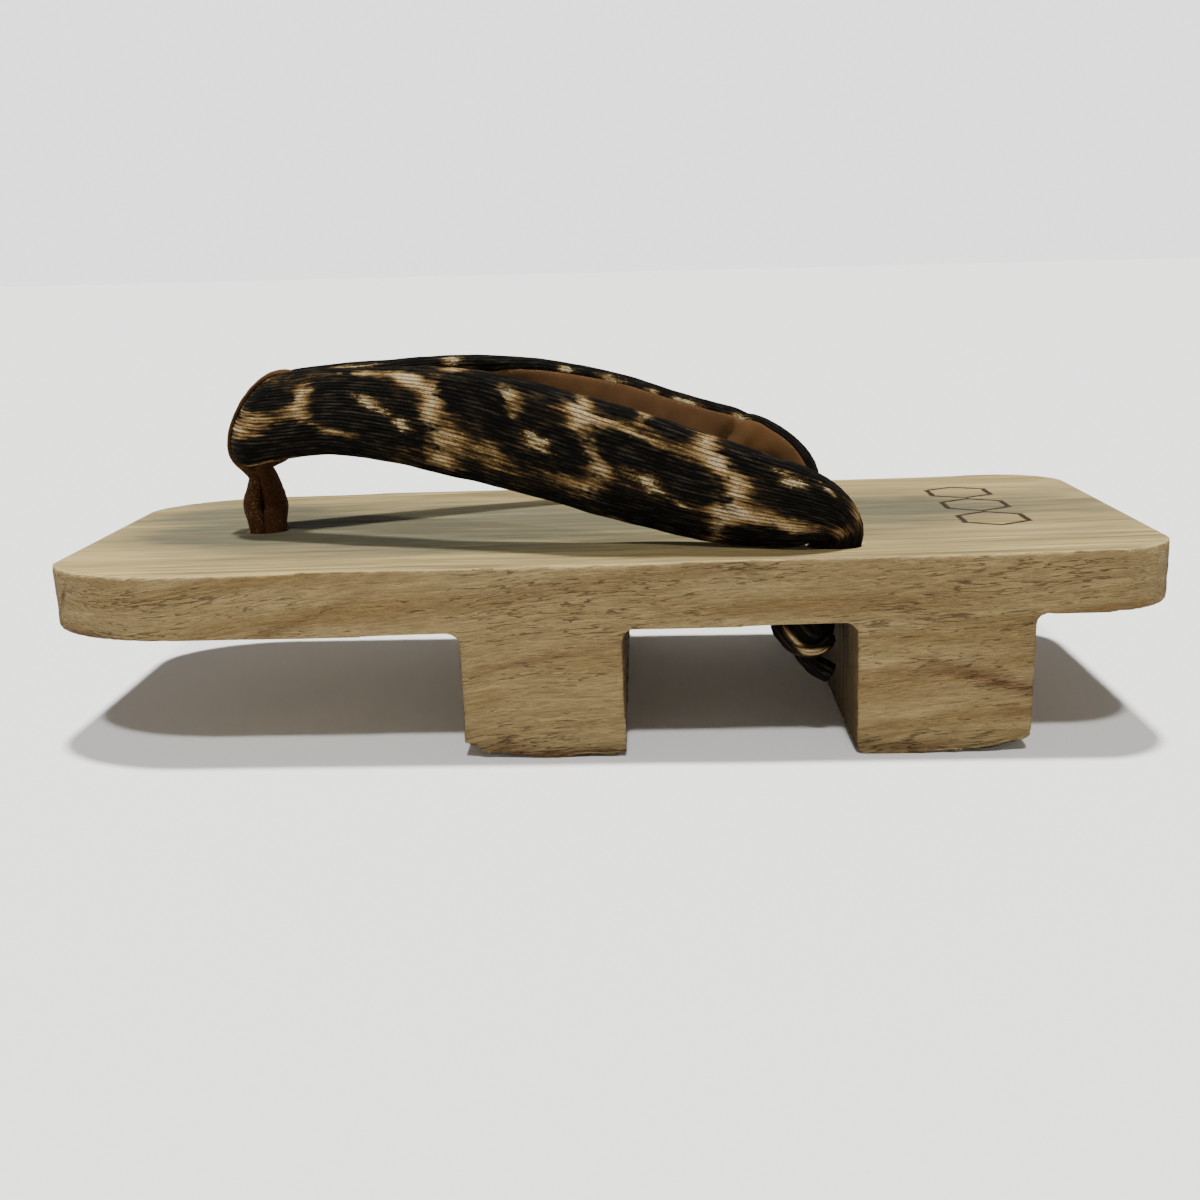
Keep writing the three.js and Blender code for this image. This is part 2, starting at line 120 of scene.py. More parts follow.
def linear(colour):
    """An sRGB hex colour as the linear values that the shaders take."""
    parts = [int(colour[i:i + 2], 16) / 255 for i in (1, 3, 5)]
    return [p / 12.92 if p <= 0.04045 else ((p + 0.055) / 1.055) ** 2.4 for p in parts] + [1.0]


def add_node(tree, kind, inputs=None, stops=None, **settings):
    """A shader node with its settings and links. Stops are the places and colours of a ramp."""
    made = tree.nodes.new("ShaderNode" + kind)
    for name, value in settings.items():
        setattr(made, name, value)
    for i, (place, colour) in enumerate(stops or ()):
        element = made.color_ramp.elements[i] if i < 2 else made.color_ramp.elements.new(place)
        element.position = place
        element.color = linear(colour)
    for socket, value in (inputs or {}).items():
        if isinstance(value, bpy.types.NodeSocket):
            tree.links.new(value, made.inputs[socket])
        else:
            made.inputs[socket].default_value = value
    return made


def new_material(name):
    """A material, its tree, what adds a node to that tree, and its shader."""
    material = bpy.data.materials.new(name)
    material.use_nodes = True
    tree = material.node_tree
    return material, tree, partial(add_node, tree), tree.nodes["Principled BSDF"]


def per_mm(*lengths):
    """The scale of a pattern whose features are this many millimetres long."""
    return tuple(1 / (length * mm) for length in lengths)


def paulownia():
    """Paulownia, planed on top and left as sawn at the sides: dull and soft, weathered grey in the middle
    of the top under long straight growth lines, with a painted shadow strip along the near side. The sides
    have ripples in painted shade and highlight, level cracks darkened with painted shade, and torn fibres.
    The rim of the top is paler from wear and a painted highlight."""
    material, tree, add, shader = new_material("paulownia")
    place = add("TexCoord").outputs["Object"]
    facing = add("SeparateXYZ", {0: add("NewGeometry").outputs["Normal"]})
    planed = add("MapRange", {0: facing.outputs[2], 1: 0.5, 2: 0.9}, interpolation_type="SMOOTHSTEP")
    steep = add("Math", {0: facing.outputs[0]}, operation="ABSOLUTE")
    end_grain = add("MapRange", {0: steep.outputs[0], 1: 0.72, 2: 0.93}, interpolation_type="SMOOTHSTEP")
    warm = add("Attribute", attribute_name="warm").outputs["Fac"]
    grey = add("Attribute", attribute_name="grey").outputs["Fac"]
    torn = add("Attribute", attribute_name="torn").outputs["Fac"]

    # The grain climbs towards the heel, and wanders.
    wander = add("TexNoise", {"Vector": place, "Scale": 1 / (60 * mm), "Detail": 1.0})
    centred = add("VectorMath", {0: wander.outputs["Color"], 1: (0.5, 0.5, 0.5)}, operation="SUBTRACT")
    shift = add("VectorMath", {0: centred.outputs[0], 1: (0, 3 * mm, 12 * mm)}, operation="MULTIPLY")
    grain = add("VectorMath", {0: place, 1: shift.outputs[0]}, operation="ADD")
    climbing = add("Mapping", {"Vector": grain.outputs[0], "Rotation": (0, math.radians(5), 0)})

    def streaks(vector, sizes, detail, roughness=0.6):
        scaled = add("Mapping", {"Vector": vector, "Scale": per_mm(*sizes)})
        made = add("TexNoise", {"Vector": scaled.outputs[0], "Scale": 1.0, "Detail": detail,
                                "Roughness": roughness})
        return made.outputs["Fac"]

    bands = streaks(climbing.outputs[0], (55, 14, 5), 3.0)
    tears = streaks(climbing.outputs[0], (6.5, 2.0, 0.65), 4.0, 0.6)
    cracks = streaks(climbing.outputs[0], (9.0, 2.6, 0.95), 3.0, 0.5)
    fibres = streaks(climbing.outputs[0], (2.6, 1.2, 0.42), 3.0, 0.65)
    lines = streaks(grain.outputs[0], (210, 2.4, 8), 4.0, 0.75)
    layers = streaks(grain.outputs[0], (120, 7, 12), 3.0)
    cloud = streaks(grain.outputs[0], (34, 5, 12), 3.0)
    hairs = streaks(grain.outputs[0], (30, 1.1, 5), 4.0, 0.75)
    saw = streaks(place, (8, 0.9, 60), 3.0)

    # The sides: ripples lightened and darkened as painted highlight and shade, fine cracks along the middle
    # values of a pattern, open where the wood is torn and darkened as painted shade, and lifted fibres
    side = add("ValToRGB", {0: bands}, stops=((0.3, "#75603c"), (0.7, "#948059"), (0.5, "#84704c")))
    warmed = add("Mix", {0: warm, 6: side.outputs[0], 7: linear("#5a3f28")}, data_type="RGBA")
    # Painted shade and highlight: the side's colour follows its ripples, darker in the hollows and paler on
    # the ridges.
    ripple_shade_and_highlight = add("MapRange", {0: tears, 1: 0.38, 2: 0.62, 3: 0.8, 4: 1.16})
    ripple_shaded = add("Mix", {0: 1.0, 6: warmed.outputs[2], 7: ripple_shade_and_highlight.outputs[0]},
                  data_type="RGBA", blend_type="MULTIPLY")
    centre = add("Math", {0: cracks, 1: 0.5}, operation="SUBTRACT")
    off_crack = add("Math", {0: centre.outputs[0]}, operation="ABSOLUTE")
    thin = add("MapRange", {0: off_crack.outputs[0], 1: 0.034, 2: 0.008})
    open_edge = add("Math", {0: torn, 1: -0.16, 2: 0.6}, operation="MULTIPLY_ADD")
    open_end = add("Math", {0: open_edge.outputs[0], 1: 0.1}, operation="ADD")
    opened = add("MapRange", {0: tears, 1: open_edge.outputs[0], 2: open_end.outputs[0]})
    split = add("Math", {0: thin.outputs[0], 1: opened.outputs[0]}, operation="MULTIPLY")
    # Painted shade: the open cracks are darkened.
    deep = add("Math", {0: split.outputs[0], 1: 0.6}, operation="MULTIPLY")
    crack_shaded = add("Mix", {0: deep.outputs[0], 6: ripple_shaded.outputs[2], 7: linear("#2b1d10")},
                  data_type="RGBA")
    splinter = add("MapRange", {0: fibres, 1: 0.56, 2: 0.74})
    lifted = add("Math", {0: splinter.outputs[0], 1: 0.3}, operation="MULTIPLY")
    fibred = add("Mix", {0: lifted.outputs[0], 6: crack_shaded.outputs[2], 7: linear("#b09b6c")},
                 data_type="RGBA")

    # The end grain of the teeth, the toe and the heel
    end = add("ValToRGB", {0: saw}, stops=((0.3, "#463720"), (0.7, "#705e3c")))
    rough_wood = add("Mix", {0: end_grain.outputs[0], 6: fibred.outputs[2], 7: end.outputs[0]},
                     data_type="RGBA")

    # The planed top
    cream = add("ValToRGB", {0: layers}, stops=((0.35, "#83714a"), (0.65, "#9c8b5d")))
    # Painted shadow: besides the weathered grey, the grey attribute holds a strip along the near strap's
    # shadow.
    weathered = add("Math", {0: cloud, 1: 0.5}, operation="SUBTRACT")
    greying = add("Math", {0: weathered.outputs[0], 1: 1.5, 2: grey}, operation="MULTIPLY_ADD",
                  use_clamp=True)
    greyed = add("Mix", {0: greying.outputs[0], 6: cream.outputs[0], 7: linear("#524f3d")},
                 data_type="RGBA")
    line = add("MapRange", {0: lines, 1: 0.47, 2: 0.38})
    faint = add("Math", {0: line.outputs[0], 1: 0.7}, operation="MULTIPLY")
    lined = add("Mix", {0: faint.outputs[0], 6: greyed.outputs[2], 7: linear("#57492e")}, data_type="RGBA")
    hair = add("MapRange", {0: hairs, 1: 0.38, 2: 0.6, 3: 0.8, 4: 1.08})
    haired = add("Mix", {0: 1.0, 6: lined.outputs[2], 7: hair.outputs[0]},
                 data_type="RGBA", blend_type="MULTIPLY")

    # Three hexagons burned into the heel. Folding the place along Y makes all three from one.
    apart = add("SeparateXYZ", {0: place})
    along = add("Math", {0: apart.outputs[0], 1: BURN_X * mm}, operation="SUBTRACT")
    across = add("Math", {0: apart.outputs[1], 1: BURN_Y * mm}, operation="SUBTRACT")
    number = add("Math", {0: across.outputs[0], 1: BURN_SPACING * mm}, operation="DIVIDE")
    nearest = add("Math", {0: number.outputs[0]}, operation="ROUND")
    one_of = add("Clamp", {0: nearest.outputs[0], 1: -1.0, 2: 1.0})
    folded = add("Math", {0: one_of.outputs[0], 1: -BURN_SPACING * mm, 2: across.outputs[0]},
                 operation="MULTIPLY_ADD")
    out_x = add("Math", {0: along.outputs[0]}, operation="ABSOLUTE")
    out_y = add("Math", {0: folded.outputs[0]}, operation="ABSOLUTE")
    half_x = add("Math", {0: out_x.outputs[0], 1: 0.5}, operation="MULTIPLY")
    slanted = add("Math", {0: out_y.outputs[0], 1: math.cos(math.radians(30)), 2: half_x.outputs[0]},
                  operation="MULTIPLY_ADD")
    reach = add("Math", {0: out_x.outputs[0], 1: slanted.outputs[0]}, operation="MAXIMUM")
    from_line = add("Math", {0: reach.outputs[0], 1: BURN_RADIUS * mm}, operation="SUBTRACT")
    distance = add("Math", {0: from_line.outputs[0]}, operation="ABSOLUTE")
    ragged = add("TexNoise", {"Vector": place, "Scale": 1 / (1.1 * mm), "Detail": 2.0})
    uneven = add("Math", {0: ragged.outputs["Fac"], 1: 0.9 * mm, 2: distance.outputs[0]},
                 operation="MULTIPLY_ADD")
    burn = add("MapRange", {0: uneven.outputs[0], 1: 1.2 * mm, 2: 0.85 * mm})
    on_top = add("Math", {0: burn.outputs[0], 1: planed.outputs[0]}, operation="MULTIPLY")
    top = add("Mix", {0: on_top.outputs[0], 6: haired.outputs[2], 7: linear("#2b1c10")}, data_type="RGBA")
    planed_or_not = add("Mix", {0: planed.outputs[0], 6: rough_wood.outputs[2], 7: top.outputs[2]},
                        data_type="RGBA")
    # Painted highlight and wear: the rim where the top rounds into the sides is paler, frayed by the fibres.
    edge = add("MapRange", {0: facing.outputs[2], 1: 0.3, 2: 0.6}, interpolation_type="SMOOTHSTEP")
    edge_end = add("MapRange", {0: facing.outputs[2], 1: 0.98, 2: 0.8})
    edge_wear_and_highlight = add("Math", {0: edge.outputs[0], 1: edge_end.outputs[0]}, operation="MULTIPLY")
    frayed_wear_and_highlight = add("Math", {0: edge_wear_and_highlight.outputs[0], 1: fibres}, operation="MULTIPLY")
    colour = add("Mix", {0: frayed_wear_and_highlight.outputs[0], 6: planed_or_not.outputs[2], 7: linear("#ad9b6e")},
                 data_type="RGBA")
    tree.links.new(colour.outputs[2], shader.inputs["Base Color"])

    combed = add("Math", {0: tears, 1: 2.2}, operation="MULTIPLY")
    sunk = add("Math", {0: split.outputs[0], 1: -1.3, 2: combed.outputs[0]}, operation="MULTIPLY_ADD")
    side_relief = add("Math", {0: fibres, 1: 1.2, 2: sunk.outputs[0]}, operation="MULTIPLY_ADD")
    top_relief = add("Math", {0: lines, 1: 0.12}, operation="MULTIPLY")
    burned = add("Math", {0: on_top.outputs[0], 1: -0.8, 2: top_relief.outputs[0]},
                 operation="MULTIPLY_ADD")
    height = add("Mix", {0: planed.outputs[0], 2: side_relief.outputs[0], 3: burned.outputs[0]})
    bump = add("Bump", {"Height": height.outputs[0], "Strength": 1.0, "Distance": 0.8 * mm})
    tree.links.new(bump.outputs[0], shader.inputs["Normal"])
    shader.inputs["Roughness"].default_value = 0.85
    shader.inputs["Specular IOR Level"].default_value = 0.1
    return material


def printed_corduroy():
    """Cotton corduroy with a leopard print: near black spots with tan hearts on cream and tan, fuzzy and
    drawn out along the ribs, because the print sits on the pile. The furrows are darker, where the print
    doesn't reach and as painted shade, and in the black the crests of the ribs carry a painted highlight."""
    material, tree, add, shader = new_material("printed_corduroy")
    cloth = add("Attribute", attribute_name="cloth").outputs["Vector"]
    spot = add("Attribute", attribute_name="spot").outputs["Fac"]
    heart = add("Attribute", attribute_name="heart").outputs["Fac"]
    pale = add("Attribute", attribute_name="pale").outputs["Fac"]
    rib = add("Attribute", attribute_name="rib").outputs["Fac"]

    def threads(along, around, detail):
        scaled = add("Mapping", {"Vector": cloth, "Scale": per_mm(along, around, 1)})
        made = add("TexNoise", {"Vector": scaled.outputs[0], "Scale": 1.0, "Detail": detail,
                                "Roughness": 0.65})
        centred = add("Math", {0: made.outputs["Fac"], 1: 0.5}, operation="SUBTRACT")
        return centred.outputs[0]

    smear = threads(4.2, 0.8, 4.0)
    fuzz = threads(0.55, 0.3, 2.0)
    blend = threads(6.0, 1.1, 4.0)
    blot = threads(5.0, 3.5, 2.0)

    def edged(value, weight, low, high):
        bent = add("Math", {0: blot, 1: weight, 2: value}, operation="MULTIPLY_ADD")
        drawn = add("Math", {0: smear, 1: weight, 2: bent.outputs[0]}, operation="MULTIPLY_ADD")
        fuzzed = add("Math", {0: fuzz, 1: weight * 0.5, 2: drawn.outputs[0]}, operation="MULTIPLY_ADD")
        made = add("MapRange", {0: fuzzed.outputs[0], 1: low, 2: high}, interpolation_type="SMOOTHSTEP")
        return made.outputs[0]

    ground_mix = add("Math", {0: blend, 1: 2.1, 2: pale}, operation="MULTIPLY_ADD")
    ground = add("ValToRGB", {0: ground_mix.outputs[0]},
                 stops=((0.05, "#14100a"), (1.25, "#a08f70"), (0.3, "#3a2c19"), (0.5, "#66502f"),
                        (0.8, "#8f7852")))
    # Painted highlight: in the black areas the crests of the ribs are lighter.
    highlight_noise = add("MapRange", {0: blend, 1: -0.02, 2: 0.28})
    crest = add("Math", {0: highlight_noise.outputs[0], 1: rib}, operation="MULTIPLY")
    ink_and_highlight = add("Mix", {0: crest.outputs[0], 6: linear("#080705"), 7: linear("#352f24")}, data_type="RGBA")
    black = edged(spot, 1.3, -0.14, 0.24)
    blackened = add("Mix", {0: black, 6: ground.outputs[0], 7: ink_and_highlight.outputs[2]}, data_type="RGBA")
    core = edged(heart, 1.7, -0.15, 0.85)
    core_mix = add("Math", {0: blend, 1: 2.2, 2: core}, operation="MULTIPLY_ADD")
    core_colour = add("ValToRGB", {0: core_mix.outputs[0]},
                      stops=((0.3, "#3a2c19"), (1.5, "#9b8a69"), (0.8, "#67532f")))
    cored = add("Mix", {0: core, 6: blackened.outputs[2], 7: core_colour.outputs[0]}, data_type="RGBA")
    # Painted shade in the furrows, which are also where the print doesn't reach.
    furrow = add("MapRange", {0: rib, 1: 0.1, 2: 0.8, 3: 0.3, 4: 1.0})
    tuft = add("MapRange", {0: fuzz, 1: -0.15, 2: 0.2, 3: 0.5, 4: 1.4})
    tufted = add("Mix", {0: 1.0, 6: cored.outputs[2], 7: tuft.outputs[0]},
                 data_type="RGBA", blend_type="MULTIPLY")
    shaded = add("Mix", {0: 1.0, 6: tufted.outputs[2], 7: furrow.outputs[0]},
                 data_type="RGBA", blend_type="MULTIPLY")
    tree.links.new(shaded.outputs[2], shader.inputs["Base Color"])

    pile = add("Math", {0: smear, 1: 0.5, 2: fuzz}, operation="MULTIPLY_ADD")
    bump = add("Bump", {"Height": pile.outputs[0], "Strength": 0.6, "Distance": 0.25 * mm})
    tree.links.new(bump.outputs[0], shader.inputs["Normal"])
    shader.inputs["Roughness"].default_value = 0.92
    shader.inputs["Specular IOR Level"].default_value = 0.06
    return material


def brown_velvet():
    """Cotton velvet: a short dense pile, dark where one looks into it, with painted sheen in the speckle of
    single tufts along its folds, and painted shade that darkens it, turning to painted light that makes it
    paler."""
    material, tree, add, shader = new_material("brown_velvet")
    place = add("TexCoord").outputs["Object"]
    tufts = add("TexNoise", {"Vector": place, "Scale": 1 / (0.5 * mm), "Detail": 2.0})
    cloud = add("TexNoise", {"Vector": place, "Scale": 1 / (9 * mm), "Detail": 2.0})
    painted_sheen = add("Attribute", attribute_name="painted_sheen").outputs["Fac"]
    deep = add("Attribute", attribute_name="deep").outputs["Fac"]
    # Painted shade: the deep attribute darkens the base, and below zero it makes it paler as painted light.
    lining = add("ValToRGB", {0: cloud.outputs["Fac"]},
                 stops=((0.35, "#35230f"), (0.65, "#462f16")))
    base = add("Mix", {0: deep, 6: lining.outputs[0], 7: linear("#291407")}, data_type="RGBA")
    # Painted sheen: pale specks of single tufts along the lining's folded edges, on the thong's front strand
    # and on the toe knot.
    speck = add("MapRange", {0: tufts.outputs["Fac"], 1: 0.54, 2: 0.68})
    part = add("Math", {0: painted_sheen, 1: speck.outputs[0]}, operation="MULTIPLY")
    colour = add("Mix", {0: part.outputs[0], 6: base.outputs[2], 7: linear("#6b4e29")}, data_type="RGBA")
    tree.links.new(colour.outputs[2], shader.inputs["Base Color"])
    bump = add("Bump", {"Height": tufts.outputs["Fac"], "Strength": 0.5, "Distance": 0.2 * mm})
    tree.links.new(bump.outputs[0], shader.inputs["Normal"])
    shader.inputs["Roughness"].default_value = 0.9
    shader.inputs["Specular IOR Level"].default_value = 0.1
    shader.inputs["Sheen Weight"].default_value = 0.06
    shader.inputs["Sheen Roughness"].default_value = 0.35
    shader.inputs["Sheen Tint"].default_value = linear("#b9854a")
    return material


# Shapes shared by the cloth pieces

def smooth_rows(rows, t):
    """Rows of numbers read as smooth curves, at places from 0 for the first row to 1 for the last."""
    t = np.clip(np.asarray(t, float), 0, 1) * (len(rows) - 1)
    i = np.minimum(t.astype(int), len(rows) - 2)
    f = (t - i)[:, None]
    padded = np.vstack([2 * rows[0] - rows[1], rows, 2 * rows[-1] - rows[-2]])
    a, b, c, d = (padded[i + k] for k in range(4))
    start, end = (c - a) / 2, (d - b) / 2
    return (2 * b - 2 * c + start + end) * f**3 + (3 * c - 3 * b - 2 * start - end) * f**2 + start * f + b


def rounded(turns, squareness):
    """How far out a rounded oblong reaches in its two directions, as shares, at these turns."""
    power = 2 / squareness
    c, s = np.cos(turns), np.sin(turns)
    return np.sign(c) * np.abs(c) ** power, np.sign(s) * np.abs(s) ** power


def tube(name, points, values, materials):
    """A closed tube: a grid bent round so that its long edges meet, with its ends filled. Points are in the
    deck's frame, laid along and then around. Values are named numbers or vectors for each point."""
    count_along, count_around = points.shape[:2]
    points = on_floor(np.concatenate([points, points[:, :1]], axis=1))
    bm = bmesh.new()
    layers = {}
    for key, value in values.items():
        kind = bm.verts.layers.float_vector if value.ndim == 3 else bm.verts.layers.float
        layers[key] = kind.new(key)
    bmesh.ops.create_grid(bm, x_segments=count_along - 1, y_segments=count_around, size=1.0)
    for vert in bm.verts:
        i = round((vert.co.x + 1) / 2 * (count_along - 1))
        j = round((vert.co.y + 1) / 2 * count_around)
        vert.co = points[i, j]
        for key, layer in layers.items():
            vert[layer] = values[key][i, j % count_around]
    bmesh.ops.remove_doubles(bm, verts=bm.verts, dist=0.0005 * mm)
    bmesh.ops.dissolve_degenerate(bm, dist=0.0005 * mm, edges=bm.edges)
    rims = [edge for edge in bm.edges if edge.is_boundary]
    caps = bmesh.ops.holes_fill(bm, edges=rims, sides=0)["faces"]
    bmesh.ops.triangulate(bm, faces=caps)
    bmesh.ops.recalc_face_normals(bm, faces=bm.faces)
    return finished(name, bm, materials)


def finished(name, bm, materials):
    for face in bm.faces:
        face.smooth = True
    mesh = bpy.data.meshes.new(name)
    bm.to_mesh(mesh)
    bm.free()
    for material in materials:
        mesh.materials.append(material)
    piece = bpy.data.objects.new(name, mesh)
    bpy.context.scene.collection.objects.link(piece)
    return piece


def swell(points, size, seed):
    """Soft uneven heights from -1 to 1 for a grid of points, whose lumps are this many millimetres across."""
    shape = points.shape[:-1]
    flat = points.reshape(-1, 3) / size
    heights = [noise.noise(Vector(p) + Vector((seed, 0, 0))) for p in flat]
    return np.array(heights).reshape(shape)


# The strap

STRAP_WIDTH = 27.0
STRAP_THICKNESS = 9.0
STRAP_RISE = 29.5
STRAP_SPREAD = 41.0
BEND_REACH = 0.03
ROUND, SQUARED = 2.0, 2.4
MIDDLE_HALF_WIDTH = 12.5
MIDDLE_HALF_THICKNESS = 4.5

# along: share of the way from the toe hole to the rear hole. out: share of the spread. rise: share of the
# rise. Then degrees: heading outwards, pitch up, lean of the top inwards. width and thickness: shares.
STRAP_SECTIONS = (
    # along, out, rise, heading, pitch, lean, width, thickness
    (0.013, 0.0, 0.916, 90, 0, 34, 0.92, 1.38),
    (0.016, 0.08, 0.92, 74, 5, 32, 0.89, 1.3),
    (0.025, 0.132, 0.93, 46, 8, 27, 0.83, 1.14),
    (0.056, 0.165, 0.96, 27, 8, 23, 0.775, 0.98),
    (0.169, 0.31, 1.0, 23, 1, 23, 0.745, 0.98),
    (0.281, 0.456, 0.976, 21, -4, 15, 0.8, 1.0),
    (0.394, 0.59, 0.915, 20, -8, 3, 0.88, 1.0),
    (0.506, 0.717, 0.807, 18, -13, -11, 0.95, 1.0),
    (0.618, 0.83, 0.668, 13, -17, -20, 1.0, 1.0),
    (0.731, 0.868, 0.508, 8, -16, -24, 0.985, 1.0),
    (0.843, 0.951, 0.38, 9, -12, -22, 0.874, 1.0),
    (0.903, 0.99, 0.325, 5, -14, -20, 0.76, 1.0),
    (0.945, 0.99, 0.265, -8, -28, -14, 0.64, 1.0),
    (0.978, 0.96, 0.19, -18, -50, -6, 0.52, 1.0),
    (0.997, 0.925, 0.09, -18, -80, 0, 0.43, 1.05),
)
# In the hole: share of the deck's thickness, and the degrees that it has yet to bend and turn.
HOLE_SECTIONS = ((0.1, 14, -12), (0.5, 0, 0), (1.02, 0, 0))


def strap_rows():
    """Middle, directions, half sizes and squareness of each section, from the toe bend to the rear hole."""
    span = REAR_HOLE_X - TOE_HOLE_X
    rows = []
    for along, out, rise, heading, pitch, lean, width, thickness in STRAP_SECTIONS:
        squareness = ROUND if along < BEND_REACH else SQUARED
        rows.append((TOE_HOLE_X + along * span, out * STRAP_SPREAD, rise * STRAP_RISE, heading, pitch, lean,
                     width * STRAP_WIDTH / 2, thickness * STRAP_THICKNESS / 2, squareness))
    for share, bend, twist in HOLE_SECTIONS:
        depth = share * DECK_THICKNESS
        rows.append((hole_axis_x(depth), REAR_HOLE_Y, -depth, twist, bend - 90 - REAR_HOLE_SLANT, 0,
                     REAR_HOLE_RADIUS, REAR_HOLE_RADIUS, ROUND))
    return np.array(rows)


def hole_axis_x(depth):
    return REAR_HOLE_X - depth * math.tan(math.radians(REAR_HOLE_SLANT))


def strap_surface(rows, turns, grow=0.0):
    """Points on the strap for each row and each turn round its section: 0 is its upper edge, a quarter turn
    its outer face. Rows are on the side where outwards is +Y."""
    heading, pitch, lean = np.radians(rows[:, 3:6]).T
    travel = np.stack([np.cos(heading) * np.cos(pitch), np.sin(heading) * np.cos(pitch), np.sin(pitch)], 1)
    outwards = np.stack([-np.sin(heading), np.cos(heading), 0 * heading], 1)
    upright = np.cross(travel, outwards)
    wide = upright * np.cos(lean)[:, None] - outwards * np.sin(lean)[:, None]
    face = outwards * np.cos(lean)[:, None] + upright * np.sin(lean)[:, None]
    across, out = rounded(turns[None, :], rows[:, 8][:, None])
    across = across * (rows[:, 6][:, None] + grow)
    out = out * (rows[:, 7][:, None] + grow)
    return rows[:, None, :3] + wide[:, None] * across[..., None] + face[:, None] * out[..., None]


def girth():
    """Turns and the way round a middle section in millimetres, to lay the ribs out evenly."""
    turns = np.linspace(0, 2 * math.pi, 4001)
    across, out = rounded(turns, SQUARED)
    steps = np.hypot(np.diff(across * MIDDLE_HALF_WIDTH), np.diff(out * MIDDLE_HALF_THICKNESS))
    return turns, np.concatenate([[0], np.cumsum(steps)])


STATION_SPACING = 1.5
GIRTH_TURNS, GIRTH = girth()
WHOLE_GIRTH = GIRTH[-1]
UPPER_SEAM = -4.6  # from the upper edge, on the inner side
LOWER_SEAM = 31.6
RIB_COUNT = 38
RIB_COLUMNS = 5
RIB_HEIGHT = 0.26
LINING_THICKNESS = 1.0
PADDING_LUMPS = ((0.32, 14.0, 3.0), (0.14, 5.0, 11.0))  # height, size and seed


def turns_at(around):
    return np.interp(np.asarray(around) % WHOLE_GIRTH, GIRTH, GIRTH_TURNS)


def strap_stations():
    """Rows at even distances along the strap, and those distances, from the bend to the hole."""
    rows = strap_rows()
    t = np.linspace(0, 1, 3000)
    fine = smooth_rows(rows, t)
    outer = strap_surface(fine, np.array([math.pi / 2]))[:, 0]
    steps = np.maximum(np.linalg.norm(np.diff(fine[:, :3], axis=0), axis=1),
                       np.linalg.norm(np.diff(outer, axis=0), axis=1))
    length = np.concatenate([[0], np.cumsum(steps)])
    marks = np.linspace(0, length[-1], math.ceil(length[-1] / STATION_SPACING) + 1)
    return marks, smooth_rows(rows, np.interp(marks, length, t))


def whole_strap(near, far):
    """Both halves' points in one grid that runs from hole to hole, with the near half on its own side."""
    return np.concatenate([near[:0:-1] * [1, -1, 1], far])


# Troughs in the padding: their middles along and around in millimetres, half lengths and half widths, how
# they slant from along in degrees, their depths, and the sides that they are on: -1 near, 1 far.
TROUGHS = (
    # along, around, length, width, slant, depth, sides
    (131.0, 47.0, 9.0, 1.2, 62, 1.9, (1, -1)),
    (135.5, 46.0, 9.0, 1.6, 62, -0.8, (1, -1)),
    (137.0, 39.0, 12.0, 2.6, 20, 0.9, (1, -1)),
    (66.0, 52.0, 6.0, 1.4, -25, 0.9, (1, -1)),
    (70.0, 50.0, 7.0, 2.0, -30, 0.5, (1,)),
    (96.0, 3.0, 14.0, 1.8, 12, 0.45, (-1,)),
    (112.0, 24.0, 16.0, 2.0, -8, 0.5, (-1, 1)),
    (24.0, 8.0, 8.0, 1.5, 30, 0.5, (-1,)),
    (19.0, 19.0, 9.0, 1.6, -18, 0.5, (-1, 1)),
    (146.0, 15.0, 8.0, 1.3, 40, 0.6, (-1, 1)),
    (150.0, 6.0, 7.0, 1.2, 65, 0.5, (-1, 1)),
)


def trough_depths(along, around, side):
    chart = [row[:6] for row in TROUGHS if side in row[6]]
    return sum(depth * np.exp(-run**2 - off**2) for run, off, depth in strokes(along, around, chart))


def pressed_on_deck(points):
    """Cloth doesn't go into the wood: it is squeezed into the slanted hole, or lies on the deck's top."""
    points = points.copy()
    axis_x = hole_axis_x(-points[..., 2])
    cos_slant = math.cos(math.radians(REAR_HOLE_SLANT))
    off_x = (points[..., 0] - axis_x) * cos_slant
    off_y = points[..., 1] - REAR_HOLE_Y
    distance = np.maximum(np.hypot(off_x, off_y), 1e-6)
    room = REAR_HOLE_RADIUS - 0.15
    inside = distance < REAR_HOLE_RADIUS + 2.2
    sunk = points[..., 2] < CLEARANCE / 2
    squeeze = np.where(sunk & inside, np.minimum(1, room / distance), 1.0)
    points[..., 0] = np.where(squeeze < 1, axis_x + off_x * squeeze / cos_slant, points[..., 0])
    points[..., 1] = np.where(squeeze < 1, REAR_HOLE_Y + off_y * squeeze, points[..., 1])
    points[..., 2] = np.where(sunk & ~inside, CLEARANCE / 2, points[..., 2])
    return points


def pinch(points, marks):
    """How deep the thong's loop presses into the bend."""
    reach = np.clip((LOOP_HALF_WIDTH + 1.6 - np.abs(points[..., 1])) / 1.6, 0, 1)
    near_bend = np.clip((16 - marks[:, None]) / 4, 0, 1)
    return THONG_BITE * reach**2 * (3 - 2 * reach) * near_bend


